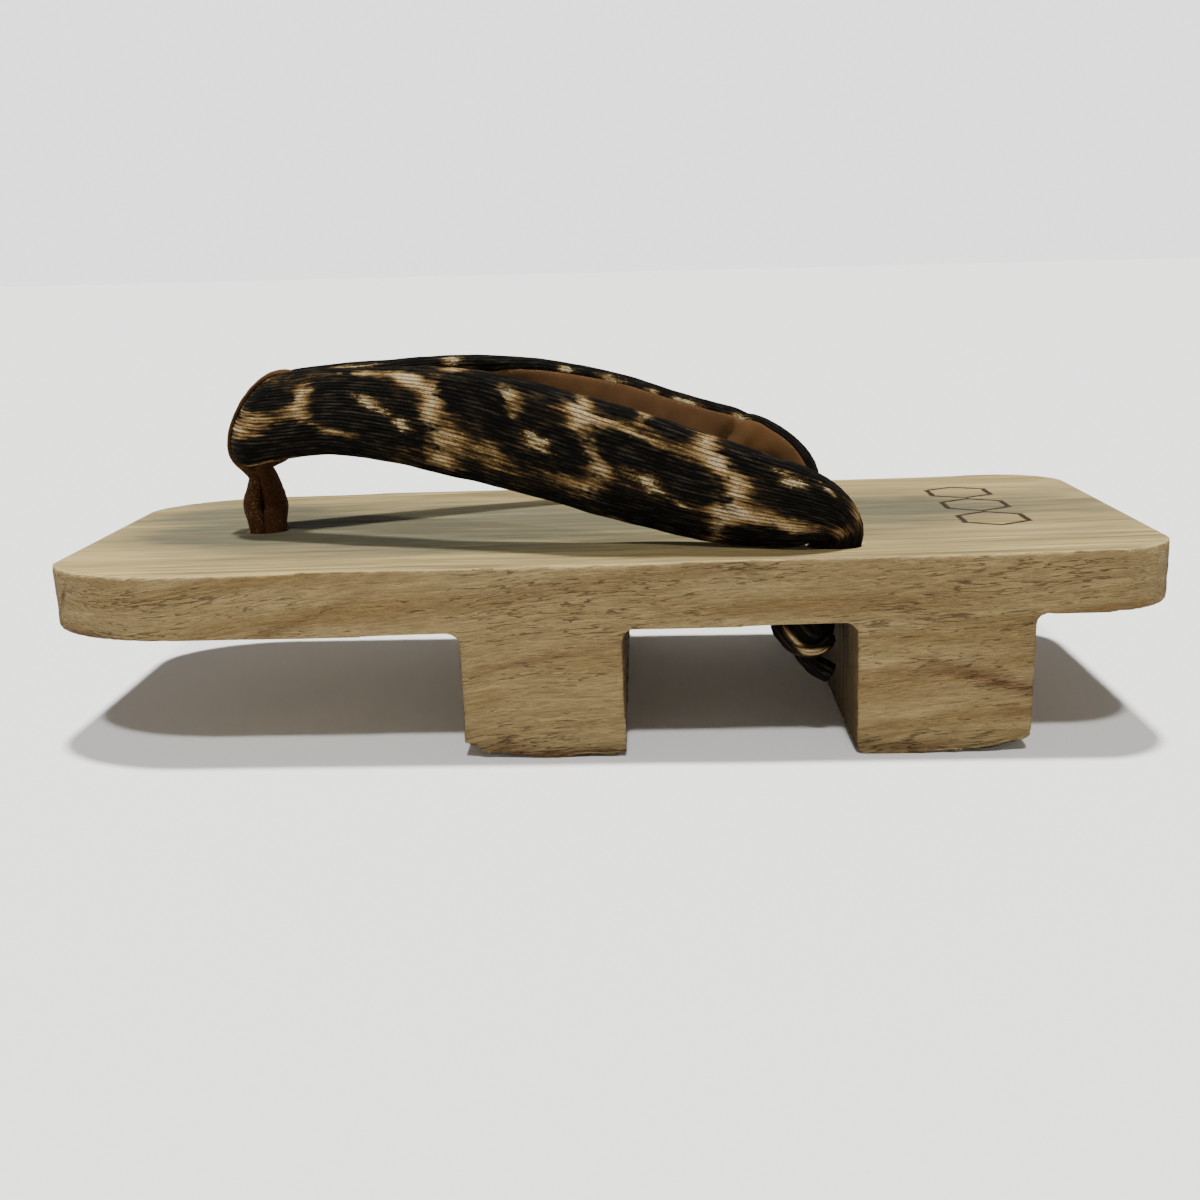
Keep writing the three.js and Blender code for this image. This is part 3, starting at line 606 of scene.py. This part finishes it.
def strap_half(around, heights, side):
    """The grid of one half for these ways round, with the heights over the plain form at each."""
    marks, rows = strap_stations()
    turns = turns_at(around)
    points = strap_surface(rows, turns)
    thicker = strap_surface(rows, turns, 0.5)
    out = thicker - points
    out /= np.maximum(np.linalg.norm(out, axis=2, keepdims=True), 1e-9)
    lumps = sum(height * swell(points, size, seed * side) for height, size, seed in PADDING_LUMPS)
    free = np.clip(marks / 12, 0, 1) * np.clip((marks[-1] - 22 - marks) / 12, 0, 1)
    push = heights[None, :] + lumps * free[:, None] - pinch(points, marks)
    push = push - trough_depths(marks[:, None], (around % WHOLE_GIRTH)[None, :], side)
    points = points + out * push[..., None]
    nearest = np.where(np.arange(len(points)) == 0, 0.0, CLEARANCE / 2)[:, None]
    points[..., 1] = np.maximum(points[..., 1], nearest)
    points[0, :, 1] = 0
    return marks, pressed_on_deck(points)


def seam_dip(around):
    """The cloth turns in at both seams."""
    from_upper = around - UPPER_SEAM
    from_lower = around - LOWER_SEAM
    return -0.55 * (np.exp(-(from_upper / 0.7) ** 2) + np.exp(-(from_lower / 0.7) ** 2))


# The print, charted in millimetres along the strap from the bend and around it from its upper edge.
# Each spot is an oblong: its middle, half length, half breadth and how it slants in degrees.
SPOTS = (
    # along, around, length, breadth, slant
    (13.5, 10.8, 8.0, 4.2, 0),
    (4.0, 16.4, 4.5, 1.6, 8),
    (11.5, 25.8, 8.0, 3.0, 0),
    (21.5, 21.0, 8.5, 3.0, 5),
    (33.0, 25.6, 13.0, 3.4, 0),
    (38.0, 10.5, 11.5, 5.2, 8),
    (47.0, 16.5, 14.5, 6.8, 14),
    (36.0, 16.5, 9.5, 5.2, 4),
    (27.0, 3.4, 9.0, 1.1, 3),
    (47.0, 1.6, 9.0, 2.0, 0),
    (68.0, 7.0, 10.0, 5.2, 8),
    (80.0, 0.4, 12.0, 3.2, 0),
    (74.0, 27.4, 17.0, 3.6, 0),
    (84.5, 12.6, 14.0, 6.0, 5),
    (99.5, 0.3, 5.6, 2.4, 0),
    (112.0, 1.0, 6.2, 2.4, 4),
    (103.0, 8.6, 8.5, 3.8, 8),
    (113.5, 11.4, 14.0, 5.8, 6),
    (111.5, 21.6, 15.0, 4.8, 2),
    (91.0, 25.4, 10.0, 2.4, 0),
    (136.0, 2.6, 13.0, 4.4, 6),
    (145.0, 9.4, 10.0, 5.6, 10),
    (136.5, 22.4, 8.5, 4.4, 0),
    (150.0, 22.5, 8.0, 4.6, 0),
    (162.5, 8.0, 8.0, 16.0, 0),
    (90.0, -4.0, 80.0, 2.6, 0),
)
HEARTS = (
    (42.5, 12.4, 6.0, 2.2, 16),
    (46.8, 14.5, 5.0, 1.8, 26),
    (51.0, 16.6, 5.0, 2.0, 20),
    (84.5, 12.8, 5.0, 2.8, 0),
    (109.5, 13.8, 6.0, 2.6, 8),
    (118.5, 16.6, 4.0, 0.8, 12),
    (139.0, 4.6, 3.8, 2.0, 10),
    (145.5, 3.6, 3.4, 1.0, 30),
    (5.0, 13.2, 2.0, 0.7, 0),
    (157.0, -3.4, 7.0, 1.3, 0),
)
# The far half's upper edge shows another stretch of the print: black with pale flecks.
EDGE_SPOTS = ((75.0, -1.4, 95.0, 4.8, 0),)
EDGE_HEARTS = (
    (54.5, -2.0, 4.0, 2.0, 0),
    (84.0, -3.6, 3.2, 1.4, 0),
    (96.5, -4.0, 5.0, 1.4, 0),
    (108.0, -4.4, 3.4, 1.0, 0),
    (118.0, -4.4, 7.0, 1.2, 0),
    (134.0, -4.2, 4.0, 1.0, 0),
    (30.0, -1.0, 8.0, 1.0, 0),
)
# The pale net between the spots has a strength too.
NET = (
    # along, around, length, breadth, slant, strength
    (23.5, 11.0, 3.0, 4.0, 0, 0.95),
    (24.0, 17.0, 4.0, 2.4, 0, 0.6),
    (12.0, 16.8, 8.0, 3.0, 4, 0.55),
    (7.0, 20.6, 6.0, 2.2, 0, 0.6),
    (3.0, 11.0, 5.0, 6.0, 0, 0.35),
    (10.0, 4.6, 8.0, 2.0, 0, 0.4),
    (10.0, 30.0, 10.0, 1.2, 0, 0.6),
    (33.0, 21.6, 9.0, 1.4, 6, 0.7),
    (40.0, 4.4, 14.0, 1.1, 2, 0.7),
    (53.0, 6.0, 6.0, 1.8, 16, 0.95),
    (58.5, 11.5, 3.2, 5.0, 20, 0.9),
    (62.0, 18.5, 5.0, 4.0, 10, 0.75),
    (62.0, 24.0, 6.0, 1.8, 10, 0.6),
    (73.0, 18.5, 8.0, 3.0, 10, 0.45),
    (61.0, 1.2, 4.0, 2.0, 0, 0.6),
    (76.0, 4.6, 3.6, 2.2, 0, 0.85),
    (78.0, 9.4, 2.6, 2.4, 0, 0.75),
    (92.0, 1.6, 3.2, 2.6, 0, 0.95),
    (93.5, 6.2, 3.2, 2.2, 0, 0.8),
    (96.0, 10.4, 2.8, 2.2, 0, 0.75),
    (99.5, 14.4, 3.4, 2.4, 0, 0.85),
    (96.0, 19.4, 8.0, 1.8, 4, 0.75),
    (104.0, 4.4, 15.0, 1.3, 3, 0.7),
    (106.0, 0.6, 2.0, 2.0, 0, 0.8),
    (119.5, 1.8, 3.4, 2.6, 0, 0.9),
    (124.5, 5.4, 4.0, 2.4, 20, 0.9),
    (129.0, 10.5, 3.0, 4.0, 18, 0.95),
    (129.0, 16.2, 4.6, 2.2, 0, 0.95),
    (126.5, 21.4, 2.0, 5.4, 10, 0.8),
    (138.0, 15.8, 10.0, 2.2, 4, 0.6),
    (104.0, 27.8, 14.0, 1.0, 0, 0.5),
    (143.0, 18.4, 6.0, 1.6, 10, 0.5),
    (153.5, 15.0, 1.8, 5.0, 0, 0.65),
    (152.5, 4.0, 1.8, 4.0, 0, 0.5),
)


def strokes(along, around, chart):
    """Where points lie in the oblongs of a chart, as shares of the half length and half breadth of each."""
    for middle, height, length, breadth, slant, *strength in chart:
        angle = math.radians(slant)
        x, y = along - middle, around - height
        run = (x * math.cos(angle) + y * math.sin(angle)) / length
        off = (y * math.cos(angle) - x * math.sin(angle)) / breadth
        yield run, off, *strength


def charted(along, around, chart):
    """How deep each point lies in the nearest spot: 1 at a middle, 0 at an edge and less outside."""
    return np.max([1 - np.hypot(run, off) for run, off in strokes(along, around, chart)], axis=0)


def washed(along, around, chart, most=1.0):
    """Soft patches, no stronger than most."""
    return np.clip(sum(strength * np.exp(-run**2 - off**2)
                       for run, off, strength in strokes(along, around, chart)), 0, most)


def print_values(marks, around, side):
    """The print on one half. The far half is cut from another stretch of the same cloth."""
    along, around = np.meshgrid(marks, np.where(around > 45, around - WHOLE_GIRTH, around), indexing="ij")
    mirrored = along if side < 0 else marks[-1] - 12 - along
    values = {
        "cloth": np.stack([side * along, around, 0 * around], -1) * mm,
        "spot": charted(mirrored, around, SPOTS),
        "heart": charted(mirrored, around, HEARTS),
        "pale": washed(mirrored, around, NET),
    }
    if side > 0:
        values["spot"] = np.maximum(values["spot"], charted(along, around, EDGE_SPOTS))
        values["heart"] = np.maximum(values["heart"], charted(along, around, EDGE_HEARTS))
    return values


def strap_pieces(corduroy, velvet):
    # The print side: ribs from seam to seam, and behind the lining a plain back.
    ribbed = np.linspace(UPPER_SEAM, LOWER_SEAM, RIB_COUNT * RIB_COLUMNS + 1)
    back = np.linspace(LOWER_SEAM, WHOLE_GIRTH + UPPER_SEAM, 16)[1:-1]
    around = np.concatenate([ribbed, back])
    phase = (ribbed - UPPER_SEAM) / (LOWER_SEAM - UPPER_SEAM) * RIB_COUNT
    crest = np.abs(np.sin(math.pi * phase)) ** 0.7
    heights = np.concatenate([RIB_HEIGHT * (crest - 0.4) + seam_dip(ribbed), 0 * back - LINING_THICKNESS])
    rib = np.concatenate([crest, 0 * back])
    halves = []
    for side in (-1, 1):
        marks, points = strap_half(around, heights, side)
        values = print_values(marks, around, side)
        values["rib"] = np.broadcast_to(rib[None, :], points.shape[:2])
        halves.append((points, values))
    (near, near_values), (far, far_values) = halves
    values = {key: np.concatenate([near_values[key][:0:-1], far_values[key]]) for key in far_values}
    strap = tube("strap_print", whole_strap(near, far), values, [corduroy])

    # The lining: a strip of velvet over the inner face, as thick as the step that was left for it.
    inner = np.linspace(LOWER_SEAM, WHOLE_GIRTH + UPPER_SEAM, 30)
    share = np.linspace(0, 1, len(inner))
    edge = np.clip(np.minimum(share, 1 - share) * 12, 0, 1)
    front = 0.12 - 0.65 * (1 - edge) ** 2
    behind = inner[-2:0:-1]
    around = np.concatenate([inner, behind])
    heights = np.concatenate([front, 0 * behind - LINING_THICKNESS + 0.08])
    # Painted sheen along the lining's folded edges.
    painted_sheen = np.concatenate([1 - edge, 0 * behind])
    (near_marks, near), (far_marks, far) = (strap_half(around, heights, side) for side in (-1, 1))
    points = whole_strap(near, far)
    marks = np.concatenate([near_marks[:0:-1], far_marks])
    # Painted shade over the lining, turning to painted light towards the rear hole.
    painted_light_rear = np.clip((marks - 128) / 10, 0, 1)[:, None] + 0 * around[None, :]
    values = {"painted_sheen": np.broadcast_to(painted_sheen[None, :], points.shape[:2]), "deep": 0.3 - 0.9 * painted_light_rear}
    lining = tube("strap_lining", points, values, [velvet])
    return strap, lining


# The toe thong

THONG_WIDTH = 7.4
THONG_STRAND = 5.3
THONG_LOOP_THICKNESS = 1.8
THONG_BITE = 1.0
THONG_SQUARENESS = 2.3
THONG_LEAD_FORWARD = 0.3
THONG_NECK_HEIGHT = 13.2
THONG_NECK_WIDTH = 7.5
THONG_BELLY_WIDTH = 10.4
THONG_BELLY_HEIGHT = 0.48
LOOP_HALF_WIDTH = THONG_WIDTH / 2
FRONT_TURNS = (10, 38, 66, 96, 124, 152)
REAR_TURNS = (42, 72, 100, 128, 154)
REAR_FUNNEL = ((0.5, 0.9), (0.75, 1.5), (0.35, 0.4))  # fullness and distance away, where the lining gathers


def thong_rows():
    """Middle X and Z, fullness, side and pairing of each row, up in front of the bend and down behind it."""
    bend = strap_rows()[0]
    lean = math.radians(bend[5])
    offset = THONG_LOOP_THICKNESS / 2 - THONG_BITE
    wide = np.array([math.sin(lean), math.cos(lean)])
    face = np.array([-math.cos(lean), math.sin(lean)])
    middle_x = TOE_HOLE_X - THONG_LEAD_FORWARD

    def round_bend(turn, side, away=0.0):
        angle = math.radians(turn)
        across = -math.cos(angle) * (bend[6] + offset + away)
        out = -side * math.sin(angle) * (bend[7] + offset + away)
        return np.array([bend[0], bend[2]]) + wide * across + face * out

    def strand(side, turns):
        def strand_x(width):
            return middle_x + side * (width - THONG_STRAND) / 2

        stem = [
            (strand_x(2 * TOE_HOLE_RADIUS), -1.02 * DECK_THICKNESS, 1.0, side, 1),
            (strand_x(2 * TOE_HOLE_RADIUS), 0.0, 1.0, side, 1),
            (strand_x(THONG_BELLY_WIDTH), THONG_BELLY_HEIGHT * THONG_NECK_HEIGHT, 1.0, side, 1),
            (strand_x(THONG_NECK_WIDTH), THONG_NECK_HEIGHT, 0.7, side, 1),
        ]
        funnel = REAR_FUNNEL if side > 0 else ()
        loop = []
        for i, turn in enumerate(turns):
            full, away = funnel[i] if i < len(funnel) else (0.0, 0.0)
            loop.append((*round_bend(turn, side, away), full, side, 0))
        return stem + loop

    crown = (*round_bend(180, 0), 0.0, 0, 0)
    return np.array(strand(-1, FRONT_TURNS) + [crown] + strand(1, REAR_TURNS)[::-1])


def thong_piece(velvet):
    rows = thong_rows()
    steps = 9
    count = steps * (len(rows) - 1) + 1
    t = np.linspace(0, 1, count)
    smooth = smooth_rows(rows[:, :3], t)
    index = np.minimum((t * (len(rows) - 1)).astype(int), len(rows) - 2)
    middle = np.stack([smooth[:, 0], 0 * t, smooth[:, 1]], 1)
    travel = np.gradient(middle, axis=0)
    travel /= np.linalg.norm(travel, axis=1, keepdims=True)
    across = np.array([0.0, 1.0, 0.0])
    thin = np.cross(travel, across)
    full = np.clip(smooth[:, 2], 0, 1)
    half_thickness = (THONG_LOOP_THICKNESS + (THONG_STRAND - THONG_LOOP_THICKNESS) * full) / 2
    turns = np.linspace(0, 2 * math.pi, 48, endpoint=False)
    out, side_way = rounded(turns, THONG_SQUARENESS)
    points = (middle[:, None] + thin[:, None] * (out[None, :] * half_thickness[:, None])[..., None]
              + across * (side_way * THONG_WIDTH / 2)[None, :, None])
    way = points - middle[:, None]
    way /= np.maximum(np.linalg.norm(way, axis=2, keepdims=True), 1e-9)
    folds = 0.22 * np.sin(3 * turns[None, :] + 9 * t[:, None]) * full[:, None]
    tufted = 0.16 * swell(points, 2.6, 5.0) + 0.12 * swell(points, 1.3, 8.0)
    points = points + way * (folds + tufted)[..., None]
    limit = TOE_HOLE_X - THONG_LEAD_FORWARD
    for i, k in enumerate(index):
        if rows[k, 4] and rows[k + 1, 4]:
            side = rows[k, 3]
            edge = limit + side * CLEARANCE / 3
            keep = np.minimum if side < 0 else np.maximum
            points[i, :, 0] = keep(points[i, :, 0], edge)
    in_hole = points[..., 2] < CLEARANCE
    off = points[..., :2] - [TOE_HOLE_X, 0]
    distance = np.maximum(np.linalg.norm(off, axis=2), 1e-6)
    squeeze = np.where(in_hole, np.minimum(1, (TOE_HOLE_RADIUS - 0.15) / distance), 1)
    points[..., :2] = [TOE_HOLE_X, 0] + off * squeeze[..., None]
    # Painted sheen specks on the front strand's stem, and painted shade that darkens the thick strands.
    values = {
        "painted_sheen": np.where(index < 4, 0.6, 0.2)[:, None] + 0 * turns[None, :],
        "deep": np.where(full > 0.3, 0.8, 0.3)[:, None] + 0 * turns[None, :],
    }
    return tube("toe_thong_velvet", points, values, [velvet])


# The knots

KNOT_FLATNESS = 0.8
KNOT_RIBS = 12

# A knot's cord: X, Y and Z from the hole's lower end, and the cord's half width there, in millimetres. The
# near side's are given, and the far knot is its mirror image.
REAR_KNOT = (
    (0.7, 0.0, 2.4, 3.2),
    (1.0, -0.8, -1.8, 4.2),
    (2.6, -1.2, -4.2, 4.0),
    (5.0, 0.6, -4.6, 2.8),
    (3.0, 4.2, -4.2, 2.5),
    (-1.0, 4.2, -3.6, 2.5),
    (-3.2, 0.8, -3.2, 2.5),
    (-3.0, -2.8, -4.4, 2.5),
    (-0.6, -4.0, -7.0, 2.3),
    (3.0, -4.4, -7.6, 2.2),
    (5.6, -2.6, -6.4, 2.2),
    (4.0, 0.4, -7.4, 2.4),
    (1.2, -1.2, -9.4, 2.5),
    (2.6, -2.8, -11.2, 2.7),
    (5.0, -3.0, -13.0, 2.9),
    (6.4, -3.0, -13.9, 2.7),
)
# Where its print is tan, in the knot's own X and Z
KNOT_TAN = (
    (-1.6, -5.2, 3.6, 1.0, -48, 1.0),
    (3.2, -8.0, 3.4, 1.0, 4, 1.0),
)
TOE_KNOT = (
    (0.0, 0.0, 2.0, 3.4),
    (-0.6, -0.6, -1.6, 3.0),
    (-4.0, -3.4, -3.4, 2.6),
    (-4.6, 2.6, -4.6, 2.6),
    (1.0, 5.0, -4.4, 2.6),
    (4.8, 1.4, -3.4, 2.6),
    (2.6, -4.2, -4.0, 2.6),
    (-2.4, -2.6, -7.0, 2.5),
    (-3.0, 1.8, -7.6, 2.5),
    (1.6, 2.2, -7.8, 2.5),
    (5.4, -0.6, -7.2, 2.7),
)


def knot_piece(name, table, place, side, material):
    """A cord laid through the points of a table. Side -1 keeps the table's Y, and 1 mirrors it."""
    rows = np.array(table)
    t = np.linspace(0, 1, 14 * (len(rows) - 1) + 1)
    smooth = smooth_rows(rows, t)
    middle = smooth[:, :3] * [1, -side, 1] + place
    travel = np.gradient(middle, axis=0)
    travel /= np.linalg.norm(travel, axis=1, keepdims=True)
    wide = np.empty_like(travel)
    wide[0] = np.cross(travel[0], [1.0, 0.0, 0.0])
    for i in range(1, len(travel)):
        wide[i] = wide[i - 1] - travel[i] * np.dot(wide[i - 1], travel[i])
        wide[i] /= np.linalg.norm(wide[i])
    thin = np.cross(travel, wide)
    columns = 4 * KNOT_RIBS
    turns = np.linspace(0, 2 * math.pi, columns, endpoint=False)
    out, across = rounded(turns, 2.4)
    half = smooth[:, 3]
    points = (middle[:, None] + wide[:, None] * (out[None, :] * half[:, None])[..., None]
              + thin[:, None] * (across[None, :] * half[:, None] * KNOT_FLATNESS)[..., None])
    way = points - middle[:, None]
    way /= np.maximum(np.linalg.norm(way, axis=2, keepdims=True), 1e-9)
    crest = np.abs(np.sin(KNOT_RIBS * turns / 2)) ** 0.7
    push = 0.2 * (crest - 0.5)[None, :] + 0.3 * swell(points, 3.5, 21.0 * side)
    points = points + way * push[..., None]
    top = -DECK_THICKNESS - CLEARANCE / 2
    outside = np.hypot(*(points[..., k] - place[k] for k in (0, 1))) > REAR_HOLE_RADIUS - 0.8
    points[..., 2] = np.where(outside, np.minimum(points[..., 2], top), points[..., 2])
    along = t[:, None] * 60 + 0 * turns[None, :]
    around = turns[None, :] / (2 * math.pi) * 17 + 0 * t[:, None]
    bright = washed(points[..., 0] - place[0], points[..., 2] - place[2], KNOT_TAN)
    # Painted sheen specks and painted shade, which only the velvet of the toe knot reads.
    values = {
        "cloth": np.stack([along * mm, around * mm, 0 * along], -1),
        "spot": 0.45 - 0.9 * bright,
        "heart": 0 * bright - 1,
        "pale": 0.85 * bright,
        "rib": crest[None, :] + 0 * along,
        "painted_sheen": 0.5 + 0 * along,
        "deep": 0.6 + 0 * along,
    }
    return tube(name, points, values, [material])


# The wooden block

REMESH_SIZE = 0.95

# Stains and tears in the wood, and on the top weathered grey with a painted shadow strip, in millimetres of
# the deck's frame: middle, half lengths and slant in degrees.
WARM_SIDE = (
    # x, z, length, height, slant, strength
    (83.0, -27.5, 16.0, 1.6, -17, 0.8),
    (66.0, -25.5, 10.0, 1.2, 0, 0.5),
    (90.0, -34.5, 6.0, 1.4, 0, 0.6),
    (62.0, -10.0, 22.0, 2.0, 3, 0.3),
    (-2.0, -4.5, 50.0, 1.8, 7, 0.35),
    (-14.0, -20.5, 18.0, 1.0, 10, 0.6),
    (-12.0, -41.8, 20.0, 1.0, 2, 0.9),
    (-21.0, -40.0, 5.0, 1.5, 10, 0.7),
    (66.0, -41.8, 14.0, 1.2, -3, 0.8),
    (-66.0, -11.5, 14.0, 1.2, 20, 0.5),
    (107.0, -13.0, 14.0, 1.0, 4, 0.5),
    (-117.0, -6.0, 3.2, 0.7, 62, 1.0),
    (-112.0, -13.6, 9.0, 1.0, 0, 0.8),
)
TORN_SIDE = (
    (83.0, -27.5, 18.0, 2.6, -17, 0.6),
    (63.0, -4.5, 9.0, 4.0, 0, 0.7),
    (80.0, -8.0, 14.0, 3.0, 0, 0.5),
    (10.0, -6.0, 34.0, 3.4, 6, 0.45),
    (-14.0, -20.5, 22.0, 2.0, 10, 0.6),
    (-12.0, -40.0, 22.0, 2.4, 0, 0.6),
    (72.0, -40.0, 22.0, 2.4, 0, 0.5),
    (-106.0, -12.6, 18.0, 1.8, 0, 0.8),
    (100.0, -6.0, 14.0, 3.0, 0, 0.2),
)
GREY_TOP = (
    # x, y, length, breadth, slant, strength
    (-99.0, 24.0, 27.0, 15.0, 0, 1.15),
    (-97.0, -6.0, 22.0, 11.0, 0, 1.15),
    (-84.0, -22.0, 16.0, 6.0, 0, 0.4),
    (-50.0, 0.0, 38.0, 30.0, 0, 0.95),
    (72.0, 4.0, 56.0, 22.0, 0, 0.85),
    (12.0, 2.0, 60.0, 32.0, 0, 0.85),
    # painted shadow: a faint grey strip where the near strap's shadow falls on the top
    (-10.0, -30.0, 80.0, 9.0, 0, 0.35),
)
# Where the teeth's lower edges are worn away.
WORN_BOTTOM = (
    # x, y, length, breadth, slant, depth
    (91.0, -52.0, 7.0, 14.0, 0, 2.4),
    (-30.0, -50.0, 4.5, 14.0, 0, 3.0),
    (-19.0, -52.0, 4.0, 5.0, 0, 1.0),
    (52.0, 52.0, 7.0, 10.0, 0, 1.4),
    (4.0, 52.0, 5.0, 9.0, 0, 1.2),
)


def block_piece(wood):
    """The block as it was cut, worn: its form is rebuilt in fine even faces, whose edges are then worn."""
    bm = bmesh.new()
    bm.from_mesh(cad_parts["wooden_block"].data)
    bmesh.ops.remove_doubles(bm, verts=bm.verts, dist=0.01 * mm)
    piece = finished("wooden_block_worn", bm, [wood])
    rebuilt = piece.modifiers.new("fine faces", "REMESH")
    rebuilt.mode = "VOXEL"
    rebuilt.voxel_size = REMESH_SIZE * mm
    rebuilt.use_smooth_shade = True
    graph = bpy.context.evaluated_depsgraph_get()
    fine = bpy.data.meshes.new_from_object(piece.evaluated_get(graph))
    piece.modifiers.clear()
    piece.data = fine
    fine.materials.clear()
    fine.materials.append(wood)

    count = len(fine.vertices)
    flat = np.empty(count * 3)
    fine.vertices.foreach_get("co", flat)
    place = on_deck(flat.reshape(-1, 3))
    fine.vertices.foreach_get("normal", flat)
    out = flat.reshape(-1, 3).copy()
    side = np.clip((0.8 - np.abs(out[:, 2])) / 0.4, 0, 1)
    low = np.clip((-38.5 - place[:, 2]) / 3.0, 0, 1)
    ragged = np.array([noise.noise(Vector((p[0] / 9, p[1] / 9, 4.0))) for p in place])
    fine_ragged = np.array([noise.noise(Vector((p[0] / 2.6, p[1] / 2.6, p[2] / 1.5))) for p in place])
    wave = np.array([noise.noise(Vector((p[0] / 30, p[1] / 30, p[2] / 6))) for p in place])
    edge = low * side
    push = 0.22 * wave * side + 0.14 * fine_ragged * side - 0.5 * edge * (0.5 + fine_ragged)
    moved = place + out * push[:, None]
    bottom = np.clip((-out[:, 2] - 0.3) / 0.4, 0, 1) * low
    rim = np.clip((np.abs(place[:, 1]) - DECK_WIDTH / 2 + 5) / 5, 0, 1)
    moved[:, 2] += bottom * rim * np.clip(0.5 + 1.6 * ragged, 0, 1.4)
    moved[:, 2] += low * washed(place[:, 0], place[:, 1], WORN_BOTTOM, 3.0)
    fine.vertices.foreach_set("co", on_floor(moved).ravel())
    torn = np.clip(0.45 + 1.2 * wave + 0.7 * low + washed(place[:, 0], place[:, 2], TORN_SIDE), 0, 1.2)
    values = {
        "warm": washed(place[:, 0], place[:, 2], WARM_SIDE),
        "grey": washed(place[:, 0], place[:, 1], GREY_TOP),
        "torn": torn,
    }
    for key, value in values.items():
        fine.attributes.new(key, "FLOAT", "POINT").data.foreach_set("value", value.astype(np.float32))
    fine.update()
    return piece


# The studio

def make_studio():
    bm = bmesh.new()
    bmesh.ops.create_grid(bm, x_segments=1, y_segments=1, size=12.0)
    pale, *_, shader = new_material("pale_floor")
    shader.inputs["Base Color"].default_value = linear("#e6e5e2")
    shader.inputs["Roughness"].default_value = 0.9
    floor = finished("floor", bm, [pale])
    # White walls all round, and a dim ceiling
    world = bpy.data.worlds.new("studio")
    world.use_nodes = True
    tree = world.node_tree
    add = partial(add_node, tree)
    height = add("SeparateXYZ", {0: add("TexCoord").outputs["Generated"]})
    glow = add("MapRange", {0: height.outputs[2], 1: 0.18, 2: 0.3, 3: 2.1, 4: 0.1})
    background = tree.nodes["Background"]
    background.inputs["Color"].default_value = linear("#ffffff")
    tree.links.new(glow.outputs[0], background.inputs["Strength"])
    bpy.context.scene.world = world
    lamps = (
        # name, degrees from overhead towards the camera's side, and strength
        ("overhead", -6, 7.0),
        ("front", 31, 2.4),
    )
    for name, angle, strength in lamps:
        data = bpy.data.lights.new(name, "SUN")
        data.angle = math.radians(5)
        data.energy = strength
        lamp = bpy.data.objects.new(name, data)
        lamp.rotation_euler = (math.radians(angle), 0, 0)
        bpy.context.scene.collection.objects.link(lamp)


def dress():
    make_camera()
    make_studio()
    wood, corduroy, velvet = paulownia(), printed_corduroy(), brown_velvet()
    block = block_piece(wood)
    strap, lining = strap_pieces(corduroy, velvet)
    thong = thong_piece(velvet)
    exit_x = hole_axis_x(DECK_THICKNESS)
    near = knot_piece("rear_knot_near_cord", REAR_KNOT, (exit_x, -REAR_HOLE_Y, -DECK_THICKNESS), -1, corduroy)
    far = knot_piece("rear_knot_far_cord", REAR_KNOT, (exit_x, REAR_HOLE_Y, -DECK_THICKNESS), 1, corduroy)
    toe = knot_piece("toe_knot_cord", TOE_KNOT, (TOE_HOLE_X, 0.0, -DECK_THICKNESS), 1, velvet)
    dressed = (
        # piece, node that it replaces, slot, padded
        (block, "wooden_block", "paulownia", False),
        (strap, "strap_upper", "printed_corduroy", True),
        (lining, "strap_upper", "brown_velvet", True),
        (thong, "toe_thong", "brown_velvet", True),
        (near, "rear_knot_near", "printed_corduroy", True),
        (far, "rear_knot_far", "printed_corduroy", True),
        (toe, "toe_knot", "brown_velvet", True),
    )
    for piece, node, slot, is_padded in dressed:
        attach(piece, "root")
        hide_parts(node)


dress()
